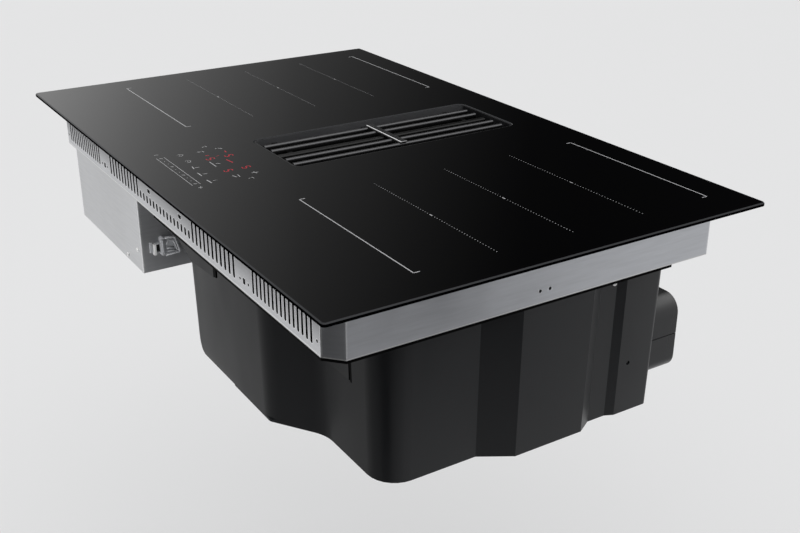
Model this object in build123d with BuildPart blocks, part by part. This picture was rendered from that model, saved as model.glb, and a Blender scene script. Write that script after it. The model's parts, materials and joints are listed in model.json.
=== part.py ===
from build123d import *
import os
from math import radians, sqrt, tan

# Downdraft induction cooktop, hanging in a worktop cut-out.
# Origin: middle of the glass outline, in the top surface of the worktop.
# +X points to the cook's right, +Y away from the cook, +Z up.
# Every size is in millimetres.

os.makedirs("parts", exist_ok=True)

# ---------------------------------------- glass and seal
SEAL_T = 2.0
SEAL_W = 8.0
SEAL_INSET = 6.0
GLASS_L = 830.0
GLASS_W = 520.0
GLASS_T = 4.0
GLASS_R = 4.0
GLASS_BEVEL = 1.2
GLASS_Z = SEAL_T
GLASS_TOP = GLASS_Z + GLASS_T

# ---------------------------------------- sheet-metal casing under the glass
CASING_INSET_X = 35.0
CASING_INSET_Y = 24.5
CASING_L = GLASS_L - 2 * CASING_INSET_X
CASING_W = GLASS_W - 2 * CASING_INSET_Y
CASING_H = 58.0
SHEET = 1.2
CORNER_X = 17.4
CORNER_Y = 16.0
FLANGE_W = 12.0
PANEL_L = CASING_L - 2 * CORNER_X
CASING_Z = GLASS_Z - CASING_H
FLOOR_TOP = CASING_Z + SHEET
WALL_H = GLASS_Z - FLOOR_TOP
LID_T = 3.0

# ---------------------------------------- holes in the casing's panels
END_VENT_COUNT = 15
END_VENT_PITCH = 8.45
END_VENT_W = 3.4
END_VENT_INSET = 75.3
END_VENT_X = PANEL_L / 2 - END_VENT_INSET
END_VENTS_INNER_X = END_VENT_X - (END_VENT_COUNT - 1) / 2 * END_VENT_PITCH
MID_VENT_PITCH = 10.49
MID_VENT_W = 4.0
MID_VENT_GAP = 38.0
MID_VENT_ROOM = END_VENTS_INNER_X - MID_VENT_GAP
MID_VENT_COUNT = 2 * int(MID_VENT_ROOM / MID_VENT_PITCH)
SHORT_VENTS_LEFT = 8
SHORT_VENTS_RIGHT = 7
SHORT_VENT_H = 10.0
SHORT_VENT_RISE = 8.5
VENT_RISE = 7.3
VENT_H = 40.0
LATCH_HOLE_W = 8.0
LATCH_HOLE_H = 4.5
LATCH_HOLE_XS = (-50.0, 44.0)
LATCH_HOLE_RISE = 25.8
CLIP_HOLE_INSET = 20.65
CLIP_HOLE_X = END_VENTS_INNER_X - CLIP_HOLE_INSET
CLIP_HOLE_W = 5.0
CLIP_HOLE_H = 6.0
CLIP_PIN_R = 1.3
CLIP_PIN_SPREAD = 9.5
CLIP_RISE = 12.5
END_HOLE_INSET = 5.6
END_HOLE_X = PANEL_L / 2 - END_HOLE_INSET
END_HOLE_RISE = 13.8
SIDE_HOLE_R = 1.75
SIDE_HOLE_SPREAD = 12.0
SIDE_HOLE_RISE = 13.3

# ---------------------------------------- intake in the glass
INTAKE_REAR_ROOM = 25.5
INTAKE_FRONT_ROOM = 135.5
INTAKE_W = 118.0
INTAKE_L = CASING_W - INTAKE_REAR_ROOM - INTAKE_FRONT_ROOM
INTAKE_Y = (INTAKE_FRONT_ROOM - INTAKE_REAR_ROOM) / 2
INTAKE_R = 11.0
INTAKE_BEVEL = 0.8
LINER_GAP = 0.5
LINER_WALL = 2.0
LINER_SINK = 0.8
LINER_FLANGE_W = 9.0
LINER_FLANGE_T = 1.5
LINER_REACH = 5.0
LINER_L = INTAKE_L - 2 * LINER_GAP
LINER_W = INTAKE_W - 2 * LINER_GAP
LINER_R = INTAKE_R - LINER_GAP
LINER_RIM_L = LINER_L + 2 * LINER_FLANGE_W
LINER_RIM_W = LINER_W + 2 * LINER_FLANGE_W
LINER_FOOT = CASING_Z - LID_T - LINER_REACH
LEDGE_DROP = 24.0
LEDGE_W = 5.0
LEDGE_T = 2.5
LEDGE_Z = GLASS_TOP - LEDGE_DROP
BAY_L = LINER_L - 2 * LINER_WALL
BAY_W = LINER_W - 2 * LINER_WALL
BAY_R = LINER_R - LINER_WALL

# ---------------------------------------- filter unit that lifts out after the grille
LIFT_GAP = 0.5
CARRIER_RIM_H = 12.0
CARRIER_WALL = 2.5
CARRIER_DEPTH = 62.0
CARRIER_L = BAY_L - 2 * LIFT_GAP
CARRIER_W = BAY_W - 2 * LIFT_GAP
CARRIER_R = BAY_R - LIFT_GAP
CARRIER_TOP = LEDGE_Z + CARRIER_RIM_H
CARRIER_FOOT = LEDGE_Z - CARRIER_DEPTH
CARRIER_BODY_W = CARRIER_W - 2 * LEDGE_W - 2 * LIFT_GAP
CARRIER_BODY_L = CARRIER_L - 2 * LEDGE_W - 2 * LIFT_GAP
CARRIER_INSIDE_W = CARRIER_BODY_W - 2 * CARRIER_WALL
DRIP_W = 40.0
DRIP_H = 12.0
DRIP_WALL = 1.5
FILTER_T = 4.0
FILTER_EDGE_GAP = 0.5
FILTER_L = CARRIER_BODY_L - 2 * CARRIER_WALL
FILTER_TOP_X = CARRIER_BODY_W / 2 - FILTER_EDGE_GAP
FILTER_FOOT_X = 12.0
FILTER_FOOT_Z = CARRIER_FOOT + DRIP_H

# ---------------------------------------- lift-off grille
SLAT_COUNT = 5
SLAT_W = 6.0
SLAT_SIDE_ROOM = 15.2
SLAT_END_ROOM = 4.0
SLAT_STEP = (CARRIER_W - 2 * SLAT_SIDE_ROOM - SLAT_W) / (SLAT_COUNT - 1)
SLAT_L = CARRIER_L - 2 * SLAT_END_ROOM
SLAT_R = 2.0
SLAT_SINK = 2.5
SLAT_TOP = GLASS_TOP - SLAT_SINK
MIDDLE_SLAT_W = 9.0
MIDDLE_SLAT_SINK = 4.2
GRILLE_RIB_W = 6.0
GRILLE_RIB_H = 5.0
GRILLE_RIB_COUNT = 3
GRILLE_RIB_END = 22.0
SLAT_FOOT = CARRIER_TOP + GRILLE_RIB_H / 2
HANDLE_OVERHANG = 1.2
HANDLE_L = (SLAT_COUNT - 1) * SLAT_STEP + SLAT_W + 2 * HANDLE_OVERHANG
HANDLE_W = 6.5
HANDLE_T = 1.8
HANDLE_BEVEL = 0.6

# ---------------------------------------- induction coils
COIL_COUNT = 4
COIL_STEP = 91.2
COIL_L = 212.0
COIL_W = 84.0
COIL_T = 5.0
COIL_EYE_L = 140.0
COIL_EYE_W = 16.0
ZONE_L = 222.0
ZONE_W = COIL_STEP * COIL_COUNT
ZONE_SIDE_ROOM = 7.3
ZONE_REAR_ROOM = 15.1
ZONE_MARGIN = 1.0
ZONE_X = CASING_L / 2 - ZONE_SIDE_ROOM - ZONE_L / 2
ZONE_Y = CASING_W / 2 - ZONE_REAR_ROOM - ZONE_W / 2
COIL_YS = [ZONE_Y + COIL_STEP * (n - (COIL_COUNT - 1) / 2) for n in range(COIL_COUNT)]
MICA_T = 0.6
MICA_GAP = 0.4
CARRIER_T = 4.0
FERRITE_L = 32.0
FERRITE_W = 5.0
FERRITE_T = 4.0
FERRITE_COLUMNS = 6
FERRITE_STEP = 32.0
COIL_PLATE_T = 2.2
SENSOR_R = 6.0
SENSOR_GAP = 0.15
POST_R = 5.0
COIL_TOP = GLASS_Z - MICA_T - MICA_GAP
COIL_Z = COIL_TOP - COIL_T
CARRIER_Z = COIL_Z - CARRIER_T
FERRITE_Z = CARRIER_Z - FERRITE_T
COIL_PLATE_Z = FERRITE_Z - COIL_PLATE_T
SIDES = (("left", -1), ("right", 1))

# ---------------------------------------- touch controls under the glass
TOUCH_FRONT_ROOM = 77.0
TOUCH_Y = -GLASS_W / 2 + TOUCH_FRONT_ROOM
TOUCH_L = 154.0
TOUCH_W = 90.0
TOUCH_GAP = 0.5
TOUCH_FRAME_WALL = 2.5
TOUCH_FRAME_H = 10.0
BOARD_T = 1.6
TOUCH_BOARD_RISE = 3.2
TOUCH_FRAME_Z = GLASS_Z - TOUCH_FRAME_H
TOUCH_BOARD_TOP = TOUCH_FRAME_Z + TOUCH_BOARD_RISE
DIGIT_XS = (-22.0, 29.0)
DIGIT_ROWS = (15.0, 37.5)
DIGIT_YS = [TOUCH_Y + row for row in DIGIT_ROWS]
DIGIT_L = 14.0
DIGIT_W = 9.0
KEY_R = 3.6
KEY_ROW_XS = (-50.0, -25.0, 0.0, 25.0, 50.0)
KEY_ROW_SETBACK = 13.0
KEY_ROW_Y = TOUCH_Y - KEY_ROW_SETBACK
SLIDER_SETBACK = 34.0
SLIDER_Y = TOUCH_Y - SLIDER_SETBACK
SLIDER_L = 108.0
SLIDER_W = 7.0

# ---------------------------------------- fan housing under the right side, its plan
TUB_H = 167.0
TUB_WALL = 2.5
TUB_FLOOR = 3.0
TUB_DRAFT = 1.2
TUB_STEP = 1.5
TUB_BULGE_ROOM = 4.0
TUB_SIDE_SETBACK = 21.0
TUB_DIP_SETBACK = 11.0
TUB_HEEL_SETBACK = 6.5
TUB_NOSE_L = 115.0
TUB_SHOULDER_L = 57.0
TUB_STEP_L = 90.0
TUB_REAR_ROOM = 71.5
TUB_FRONT_ROOM = 30.5
TUB_RECESS_SETBACK = 38.0
TUB_HEEL_L = 48.0
TUB_HEEL_SLOPE_L = 10.0
TUB_DIP_L = 23.0
TUB_DIP_SLOPE_L = 19.0
TUB_BULGE_L = 87.0
TUB_BULGE_SLOPE_L = 35.0
TUB_LEFT_X = -22.0
TUB_BULGE_X = CASING_L / 2 - TUB_BULGE_ROOM
TUB_SIDE_X = TUB_BULGE_X - TUB_SIDE_SETBACK
TUB_DIP_X = TUB_BULGE_X - TUB_DIP_SETBACK
TUB_HEEL_X = TUB_BULGE_X - TUB_HEEL_SETBACK
TUB_SHOULDER_X = TUB_SIDE_X - TUB_NOSE_L
TUB_BEND_X = TUB_SHOULDER_X - TUB_SHOULDER_L
TUB_STEP_X = TUB_BEND_X - TUB_STEP_L
TUB_REAR_Y = CASING_W / 2 - TUB_REAR_ROOM
TUB_FRONT_Y = -CASING_W / 2 + TUB_FRONT_ROOM
TUB_RECESS_Y = TUB_FRONT_Y + TUB_RECESS_SETBACK
TUB_HEEL_START_Y = TUB_REAR_Y - TUB_HEEL_L
TUB_DIP_END_Y = TUB_HEEL_START_Y - TUB_HEEL_SLOPE_L
TUB_DIP_START_Y = TUB_DIP_END_Y - TUB_DIP_L
TUB_BULGE_END_Y = TUB_DIP_START_Y - TUB_DIP_SLOPE_L
TUB_BULGE_START_Y = TUB_BULGE_END_Y - TUB_BULGE_L
TUB_SIDE_END_Y = TUB_BULGE_START_Y - TUB_BULGE_SLOPE_L
TUB_CORNER_R = 22.0
TUB_HEEL_R = 5.5
TUB_NOSE_R = 32.0
TUB_SHOULDER_R = 45.0
TUB_TOP = CASING_Z - LID_T
TUB_BOTTOM = TUB_TOP - TUB_H + TUB_STEP
TUB_GROWTH = tan(radians(TUB_DRAFT))
TUB_INSIDE_Z = TUB_BOTTOM + TUB_FLOOR
TUB_TOP_GROWTH = (TUB_TOP - TUB_BOTTOM) * TUB_GROWTH

# ---------------------------------------- fan housing, its details
FUNNEL_MARGIN = 6.0
FUNNEL_DEPTH = 68.0
FUNNEL_L = INTAKE_L + 2 * FUNNEL_MARGIN
FUNNEL_W = INTAKE_W + 2 * FUNNEL_MARGIN
FUNNEL_Z = TUB_TOP - FUNNEL_DEPTH
FUNNEL_RIM_Z = FUNNEL_Z + TUB_WALL
LIP_REACH = 26.0
LIP_T = 2.0
LIP_LEFT_REACH = 18.0
LIP_RIGHT_REACH = 7.0
LIP_SLOPE_L = 55.0
LIP_TOOTH_L = 30.0
LIP_POINT_L = 11.0
LIP_NOTCH_L = 16.0
LIP_TAIL_L = 56.0
LIP_SLOPE_H = 6.0
LIP_SLOPE_END_H = 7.0
LIP_TOOTH_H = 17.0
LIP_POINT_H = 23.0
LIP_HEEL_H = 19.0
LIP_NOTCH_H = 8.0
LIP_TAIL_H = 10.0
LIP_TAIL_END_H = 4.0
LIP_Y = TUB_FRONT_Y - LIP_REACH
LIP_LEFT_X = TUB_LEFT_X - LIP_LEFT_REACH
LIP_SLOPE_X = LIP_LEFT_X + LIP_SLOPE_L
LIP_TOOTH_X = LIP_SLOPE_X + LIP_TOOTH_L
LIP_POINT_X = LIP_TOOTH_X + LIP_POINT_L
LIP_RIGHT_X = TUB_BEND_X + LIP_RIGHT_REACH
LIP_NOTCH_X = LIP_RIGHT_X - LIP_TAIL_L
LIP_HEEL_X = LIP_NOTCH_X - LIP_NOTCH_L
GUSSET_SIDE_ROOM = 64.0
GUSSET_X = TUB_SIDE_X - GUSSET_SIDE_ROOM
GUSSET_T = 3.0
GUSSET_H = 78.0
GUSSET_REACH = 39.0
GUSSET_BITE = 0.4
GUSSET_Z = TUB_TOP - GUSSET_H
GUSSET_ROOT_Y = TUB_RECESS_Y - (GUSSET_Z - TUB_BOTTOM) * TUB_GROWTH + GUSSET_BITE
SIDE_PORT_R = 2.5
SIDE_PORT_INSET = 35.0
SIDE_PORT_DROP = 106.0
SIDE_PORT_Y = TUB_REAR_Y - SIDE_PORT_INSET
SIDE_PORT_Z = TUB_TOP - SIDE_PORT_DROP
SIDE_SCREW_INSET = 66.0
SIDE_SCREW_DROP = 7.0
SIDE_SCREW_Y = TUB_REAR_Y - SIDE_SCREW_INSET
SIDE_SCREW_Z = TUB_TOP - SIDE_SCREW_DROP
SIDE_SCREW_GAP = 0.5
SIDE_SCREW_X = TUB_DIP_X + (SIDE_SCREW_Z - TUB_BOTTOM) * TUB_GROWTH
BOSS_R = 6.0
BOSS_H = 25.0
BOSS_BITE = 1.0
BOSS_INSET = TUB_WALL + BOSS_R - BOSS_BITE - TUB_TOP_GROWTH

# ---------------------------------------- outlet spigot at the rear
OUTLET_L = 222.0
OUTLET_SIDE_ROOM = 19.5
OUTLET_RIGHT_X = TUB_HEEL_X - OUTLET_SIDE_ROOM
OUTLET_DROP = 60.0
OUTLET_TOP_Z = TUB_TOP - OUTLET_DROP
OUTLET_H = 84.0
OUTLET_REACH = 56.0
OUTLET_WALL = 2.5
OUTLET_TOP_R = 20.0
OUTLET_BOTTOM_R = 7.0
OUTLET_INSERT = 8.0
OUTLET_FLANGE_W = 9.0
OUTLET_FLANGE_T = 3.0
PORT_GAP = 0.4
OUTLET_X = OUTLET_RIGHT_X - OUTLET_L / 2
OUTLET_MID_Z = OUTLET_TOP_Z - OUTLET_H / 2
OUTLET_END_Y = TUB_REAR_Y + OUTLET_REACH

# ---------------------------------------- blower
SCROLL_R = 125.0
SCROLL_WALL = 2.0
SCROLL_SIDE_ROOM = 15.0
SCROLL_FRONT_ROOM = 32.0
SCROLL_THROAT_W = 210.0
BLOWER_X = TUB_SIDE_X - SCROLL_SIDE_ROOM - SCROLL_R
BLOWER_Y = TUB_RECESS_Y + SCROLL_FRONT_ROOM + SCROLL_R
SCROLL_LEFT_X = BLOWER_X + SCROLL_R - SCROLL_THROAT_W
SCROLL_RIGHT_X = BLOWER_X + SCROLL_R
SCROLL_TONGUE_Y = BLOWER_Y + sqrt(SCROLL_R**2 - (BLOWER_X - SCROLL_LEFT_X) ** 2)
SCROLL_END_Y = TUB_REAR_Y - TUB_WALL - OUTLET_INSERT
DIVIDER_T = 3.0
DIVIDER_GAP = 0.6
DIVIDER_RISE = 1.0
DIVIDER_Z = OUTLET_TOP_Z + DIVIDER_RISE
IMPELLER_GAP = 20.0
IMPELLER_R = SCROLL_R - IMPELLER_GAP
IMPELLER_H = 76.0
IMPELLER_TOP_GAP = 2.0
IMPELLER_BLADES = 36
BLADE_ROOT_INSET = 21.0
BLADE_MID_INSET = 8.0
BLADE_TIP_INSET = 2.0
BLADE_ROOT_R = IMPELLER_R - BLADE_ROOT_INSET
BLADE_MID_R = IMPELLER_R - BLADE_MID_INSET
BLADE_MID_LEAD = 3.0
BLADE_TIP_R = IMPELLER_R - BLADE_TIP_INSET
BLADE_TIP_LEAD = 10.0
BLADE_T = 1.6
IMPELLER_RIM_W = 7.5
IMPELLER_DISC_T = 2.5
EYE_INSET = 35.0
EYE_R = IMPELLER_R - EYE_INSET
EYE_LIP_W = 14.0
EYE_LIP_R = EYE_R + EYE_LIP_W
EYE_LIP_T = 2.5
EYE_DEPTH = 8.0
HUB_R = 54.0
HUB_WALL = 2.5
HUB_H = 48.0
HUB_BOSS_R = 10.0
HUB_BOSS_H = 16.0
MOTOR_R = 44.0
MOTOR_H = 54.0
MOTOR_PLATE_R = 60.0
MOTOR_PLATE_T = 3.0
SHAFT_R = 4.0
SHAFT_GAP = 0.05
SHAFT_INSERT = 25.0
SHAFT_END_GAP = 1.0
IMPELLER_TOP = DIVIDER_Z - EYE_DEPTH - IMPELLER_TOP_GAP
IMPELLER_Z = IMPELLER_TOP - IMPELLER_H
MOTOR_Z = TUB_INSIDE_Z + MOTOR_PLATE_T
MOTOR_TOP = MOTOR_Z + MOTOR_H
HUB_TOP = IMPELLER_Z + HUB_H
SHAFT_Z = MOTOR_TOP - SHAFT_INSERT + SHAFT_END_GAP
SHAFT_TOP = HUB_TOP - HUB_WALL + HUB_BOSS_H

# ---------------------------------------- electronics box under the left side
BOX_SIDE_ROOM = 40.0
BOX_FUNNEL_ROOM = 39.0
BOX_FRONT_ROOM = 2.5
BOX_LEFT_X = -CASING_L / 2 + BOX_SIDE_ROOM
BOX_RIGHT_X = -FUNNEL_W / 2 - BOX_FUNNEL_ROOM
BOX_L = BOX_RIGHT_X - BOX_LEFT_X
BOX_X = (BOX_LEFT_X + BOX_RIGHT_X) / 2
BOX_W = 343.0
BOX_H = 99.0
BOX_FRONT_Y = -CASING_W / 2 + BOX_FRONT_ROOM
BOX_REAR_Y = BOX_FRONT_Y + BOX_W
BOX_Y = (BOX_FRONT_Y + BOX_REAR_Y) / 2
BOX_FLANGE = 10.0
BOX_TOP = CASING_Z
BOX_BOTTOM = BOX_TOP - BOX_H
BOX_INSIDE_Z = BOX_BOTTOM + SHEET
COVER_RETURN = 66.0
BOX_SCREW_PLACES = ((54.0, 6.0), (14.0, 27.0))
BOX_SCREWS = [(BOX_RIGHT_X - inset, BOX_BOTTOM + rise) for inset, rise in BOX_SCREW_PLACES]
WIRE_HOLE_INSET = 113.0
WIRE_HOLE_Y = BOX_FRONT_Y + WIRE_HOLE_INSET
WIRE_HOLE_L = 90.0
WIRE_HOLE_W = 40.0

# ---------------------------------------- cooling fan of the electronics
FAN_SIZE = 92.0
FAN_T = 25.0
FAN_BORE_R = 43.0
FAN_HUB_R = 20.0
FAN_HUB_T = 20.0
FAN_TIP_GAP = 1.5
FAN_ROTOR_R = FAN_BORE_R - FAN_TIP_GAP
FAN_FLOAT = 0.5
FAN_LEFT_ROOM = 14.0
FAN_REAR_ROOM = 19.0
FAN_X = BOX_LEFT_X + FAN_LEFT_ROOM + FAN_SIZE / 2
FAN_Y = BOX_REAR_Y - FAN_REAR_ROOM - FAN_SIZE / 2
FAN_SPOKES = 4
FAN_SPOKE_W = 6.0
FAN_SPOKE_BITE = 0.5
FAN_HUB_SEAT_T = (FAN_T - FAN_HUB_T) / 2
FAN_ROTOR_Z = BOX_INSIDE_Z + FAN_HUB_SEAT_T + FAN_FLOAT
FAN_BLADES = 7
FAN_BLADE_BITE = 2.0
FAN_BLADE_L = FAN_ROTOR_R - FAN_HUB_R + FAN_BLADE_BITE
FAN_BLADE_W = 24.0
FAN_BLADE_T = 1.8
FAN_BLADE_LEAN = 35.0
FAN_GRID_STEP = 9.0
FAN_GRID_W = 4.0
FAN_GRID_COUNT = int(2 * FAN_BORE_R / FAN_GRID_STEP)

# ---------------------------------------- boards and parts in the electronics box
STANDOFF = 6.0
STANDOFF_INSET = 7.0
BOARD_LEFT_ROOM = 14.8
BOARD_TERMINAL_ROOM = 6.8
BOARD_FRONT_ROOM = 33.0
TERMINAL_L = 16.0
TERMINAL_W = 60.0
TERMINAL_H = 22.0
TERMINAL_WAYS = 5
TERMINAL_HOLE_R = 3.75
TERMINAL_ENTRY_ROOM = 16.0
POWER_BOARD_L = BOX_L - 2 * SHEET - TERMINAL_L - BOARD_LEFT_ROOM - BOARD_TERMINAL_ROOM
BOARD_FAN_ROOM = 19.0
POWER_BOARD_W = BOX_W - BOARD_FRONT_ROOM - BOARD_FAN_ROOM - FAN_SIZE - FAN_REAR_ROOM
POWER_FEET_L = POWER_BOARD_L - 2 * STANDOFF_INSET
POWER_FEET_W = POWER_BOARD_W - 2 * STANDOFF_INSET
POWER_BOARD_X = BOX_LEFT_X + SHEET + BOARD_LEFT_ROOM + POWER_BOARD_L / 2
POWER_BOARD_Y = BOX_FRONT_Y + BOARD_FRONT_ROOM + POWER_BOARD_W / 2
POWER_BOARD_Z = BOX_INSIDE_Z + STANDOFF
POWER_BOARD_TOP = POWER_BOARD_Z + BOARD_T
SINK_L = 60.0
SINK_MARGIN = 15.0
SINK_W = POWER_BOARD_W - 2 * SINK_MARGIN
SINK_H = 42.0
SINK_FINS = 9
SINK_FIN_T = 2.0
SINK_BASE_T = 6.0
SINK_X = POWER_BOARD_X - POWER_BOARD_L / 4
CAPACITOR_R = 14.0
CAPACITOR_H = 40.0
CAPACITOR_GAP = 6.0
CAPACITOR_COUNT = 4
CAPACITOR_STEP = 2 * CAPACITOR_R + CAPACITOR_GAP
CHOKE_R = 17.0
CHOKE_HOLE_R = 8.0
CHOKE_H = 16.0
CHOKE_GAP = 6.8
CHOKE_COUNT = 3
CHOKE_STEP = 2 * CHOKE_R + CHOKE_GAP
PARTS_X = POWER_BOARD_X + POWER_BOARD_L / 4
MAINS_FAN_ROOM = 29.0
MAINS_SIDE_ROOM = 11.0
MAINS_BOARD_L = BOX_L - FAN_LEFT_ROOM - FAN_SIZE - MAINS_FAN_ROOM - MAINS_SIDE_ROOM
MAINS_BOARD_W = 70.0
MAINS_REAR_ROOM = 35.0
MAINS_FEET_L = MAINS_BOARD_L - 2 * STANDOFF_INSET
MAINS_FEET_W = MAINS_BOARD_W - 2 * STANDOFF_INSET
MAINS_BOARD_X = BOX_RIGHT_X - MAINS_SIDE_ROOM - MAINS_BOARD_L / 2
MAINS_BOARD_Y = BOX_REAR_Y - MAINS_REAR_ROOM - MAINS_BOARD_W / 2

# ---------------------------------------- mains cable entry and clamp on the box's right side
ENTRY_INSET = 20.5
ENTRY_RISE = 30.5
ENTRY_Y = BOX_FRONT_Y + ENTRY_INSET
ENTRY_Z = BOX_BOTTOM + ENTRY_RISE
ENTRY_R = 5.0
GROMMET_WALL = 0.8
GROMMET_LIP = 0.5
GROMMET_LIP_T = 1.5
CLAMP_SETBACK = 17.0
CLAMP_Y = ENTRY_Y + CLAMP_SETBACK
CLAMP_W = 19.0
CLAMP_H = 31.0
CLAMP_T = 14.0
CLAMP_R = 4.0
CLAMP_STAND = 8.0
CLAMP_SLOT_W = 3.8
CLAMP_SLOT_H = 21.7
CLAMP_SLOT_SPREAD = 7.9
CLAMP_BAR_W = 4.0
CLAMP_BAR_H = 15.0
CLAMP_ARM_T = 2.0
CLAMP_ARM_BITE = 1.0
CLAMP_ENTRY_GAP = 0.8
CLAMP_BAR_Y = ENTRY_Y - ENTRY_R - CLAMP_ENTRY_GAP - CLAMP_BAR_W / 2
CLAMP_ARM_L = CLAMP_Y - CLAMP_W / 2 - CLAMP_BAR_Y + CLAMP_ARM_BITE
TERMINAL_X = BOX_RIGHT_X - SHEET - TERMINAL_L / 2
TERMINAL_Y = ENTRY_Y + TERMINAL_ENTRY_ROOM + TERMINAL_W / 2

# ---------------------------------------- fasteners
SCREW_R = 1.9
SCREW_HEAD_R = 3.5
SCREW_HEAD_T = 2.0
SCREW_GAP = 0.15
SCREW_GRIP = 4.8
FLANGE_SCREW_Y = CASING_W / 2 - SHEET - FLANGE_W / 2
CASING_SCREW_LEFT_INSET = 62.6
CASING_SCREW_LEFT_ROOM = 30.0
CASING_SCREW_RIGHT_ROOM = 25.0
CASING_SCREW_RIGHT_INSET = 22.6
CASING_SCREW_XS = (
    -PANEL_L / 2 + CASING_SCREW_LEFT_INSET,
    LIP_LEFT_X - CASING_SCREW_LEFT_ROOM,
    LIP_RIGHT_X + CASING_SCREW_RIGHT_ROOM,
    PANEL_L / 2 - CASING_SCREW_RIGHT_INSET,
)
TUB_SCREWS = [
    (TUB_LEFT_X + 2 * TUB_CORNER_R, TUB_FRONT_Y + BOSS_INSET),
    (TUB_BEND_X - 4 * BOSS_R, TUB_FRONT_Y + BOSS_INSET),
    (TUB_SIDE_X - BOSS_INSET, TUB_SIDE_END_Y - 4 * BOSS_R),
    (TUB_HEEL_X - BOSS_INSET, TUB_REAR_Y - 3 * BOSS_R),
    (BLOWER_X, TUB_REAR_Y - BOSS_INSET),
]


def finish(piece, name):
    """Labels a finished piece and writes it to its own file."""
    piece.label = name
    export_step(piece, f"parts/{name}.step")
    print(name, len(piece.solids()), "solids")


def xz_plane(y):
    """The upright plane at y, seen from the front: local x is +X, local y is +Z, and it faces -Y."""
    return Plane.XZ.offset(-y)


def yz_plane(x):
    """The upright plane at x: local x is +Y, local y is +Z, and it faces +X."""
    return Plane.YZ.offset(x)


# ======================================== glass, seal and intake liner
with BuildPart() as glass_top:
    with BuildSketch(Plane.XY.offset(GLASS_Z)):
        RectangleRounded(GLASS_L, GLASS_W, GLASS_R)
        with Locations((0, INTAKE_Y)):
            RectangleRounded(INTAKE_W, INTAKE_L, INTAKE_R, mode=Mode.SUBTRACT)
    extrude(amount=GLASS_T)
    chamfer(glass_top.faces().sort_by(Axis.Z)[-1].outer_wire().edges(), GLASS_BEVEL)
    chamfer(glass_top.faces().sort_by(Axis.Z)[-1].inner_wires()[0].edges(), INTAKE_BEVEL)
finish(glass_top.part, "glass_top")

with BuildPart() as worktop_seal:
    with BuildSketch(Plane.XY):
        RectangleRounded(GLASS_L - 2 * SEAL_INSET, GLASS_W - 2 * SEAL_INSET, GLASS_R)
        offset(amount=-SEAL_W, kind=Kind.INTERSECTION, mode=Mode.SUBTRACT)
    extrude(amount=SEAL_T)
finish(worktop_seal.part, "worktop_seal")

with BuildPart() as intake_liner:
    with BuildSketch(Plane.XY.offset(LINER_FOOT)):
        with Locations((0, INTAKE_Y)):
            RectangleRounded(LINER_W, LINER_L, LINER_R)
            RectangleRounded(BAY_W, BAY_L, BAY_R, mode=Mode.SUBTRACT)
    extrude(amount=GLASS_TOP - LINER_SINK - LINER_FOOT)
    with BuildSketch(Plane.XY.offset(GLASS_Z)):
        with Locations((0, INTAKE_Y)):
            RectangleRounded(LINER_RIM_W, LINER_RIM_L, LINER_R + LINER_FLANGE_W)
            RectangleRounded(BAY_W, BAY_L, BAY_R, mode=Mode.SUBTRACT)
    extrude(amount=-LINER_FLANGE_T)
    with BuildSketch(Plane.XY.offset(LEDGE_Z)):
        with Locations((0, INTAKE_Y)):
            RectangleRounded(LINER_W, LINER_L, LINER_R)
            Rectangle(BAY_W - 2 * LEDGE_W, BAY_L - 2 * LEDGE_W, mode=Mode.SUBTRACT)
    extrude(amount=-LEDGE_T)
finish(intake_liner.part, "intake_liner")

# ======================================== grille that lifts off
def slat(x, width, top):
    """One lengthwise bar of the grille, round along its top edges."""
    with BuildSketch(xz_plane(INTAKE_Y + SLAT_L / 2)) as section:
        with Locations((x, (top + SLAT_FOOT) / 2)):
            Rectangle(width, top - SLAT_FOOT)
        fillet(section.vertices().group_by(Axis.Y)[-1], SLAT_R)
    extrude(section.sketch, amount=SLAT_L)


with BuildPart() as grille:
    for index in range(SLAT_COUNT):
        from_middle = index - (SLAT_COUNT - 1) / 2
        if from_middle == 0:
            slat(0, MIDDLE_SLAT_W, GLASS_TOP - MIDDLE_SLAT_SINK)
        else:
            slat(from_middle * SLAT_STEP, SLAT_W, SLAT_TOP)
    rib_span = SLAT_L - 2 * GRILLE_RIB_END
    for index in range(GRILLE_RIB_COUNT):
        rib_y = INTAKE_Y - rib_span / 2 + rib_span * index / (GRILLE_RIB_COUNT - 1)
        with BuildSketch(Plane.XY.offset(CARRIER_TOP)):
            with Locations((0, rib_y)):
                Rectangle(CARRIER_W, GRILLE_RIB_W)
        extrude(amount=GRILLE_RIB_H)
finish(grille.part, "grille")

with BuildPart() as grille_handle:
    with BuildSketch(Plane.XY.offset(SLAT_TOP)):
        with Locations((0, INTAKE_Y)):
            Rectangle(HANDLE_L, HANDLE_W)
    extrude(amount=HANDLE_T)
    chamfer(grille_handle.faces().sort_by(Axis.Z)[-1].edges(), HANDLE_BEVEL)
finish(grille_handle.part, "grille_handle")

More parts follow.
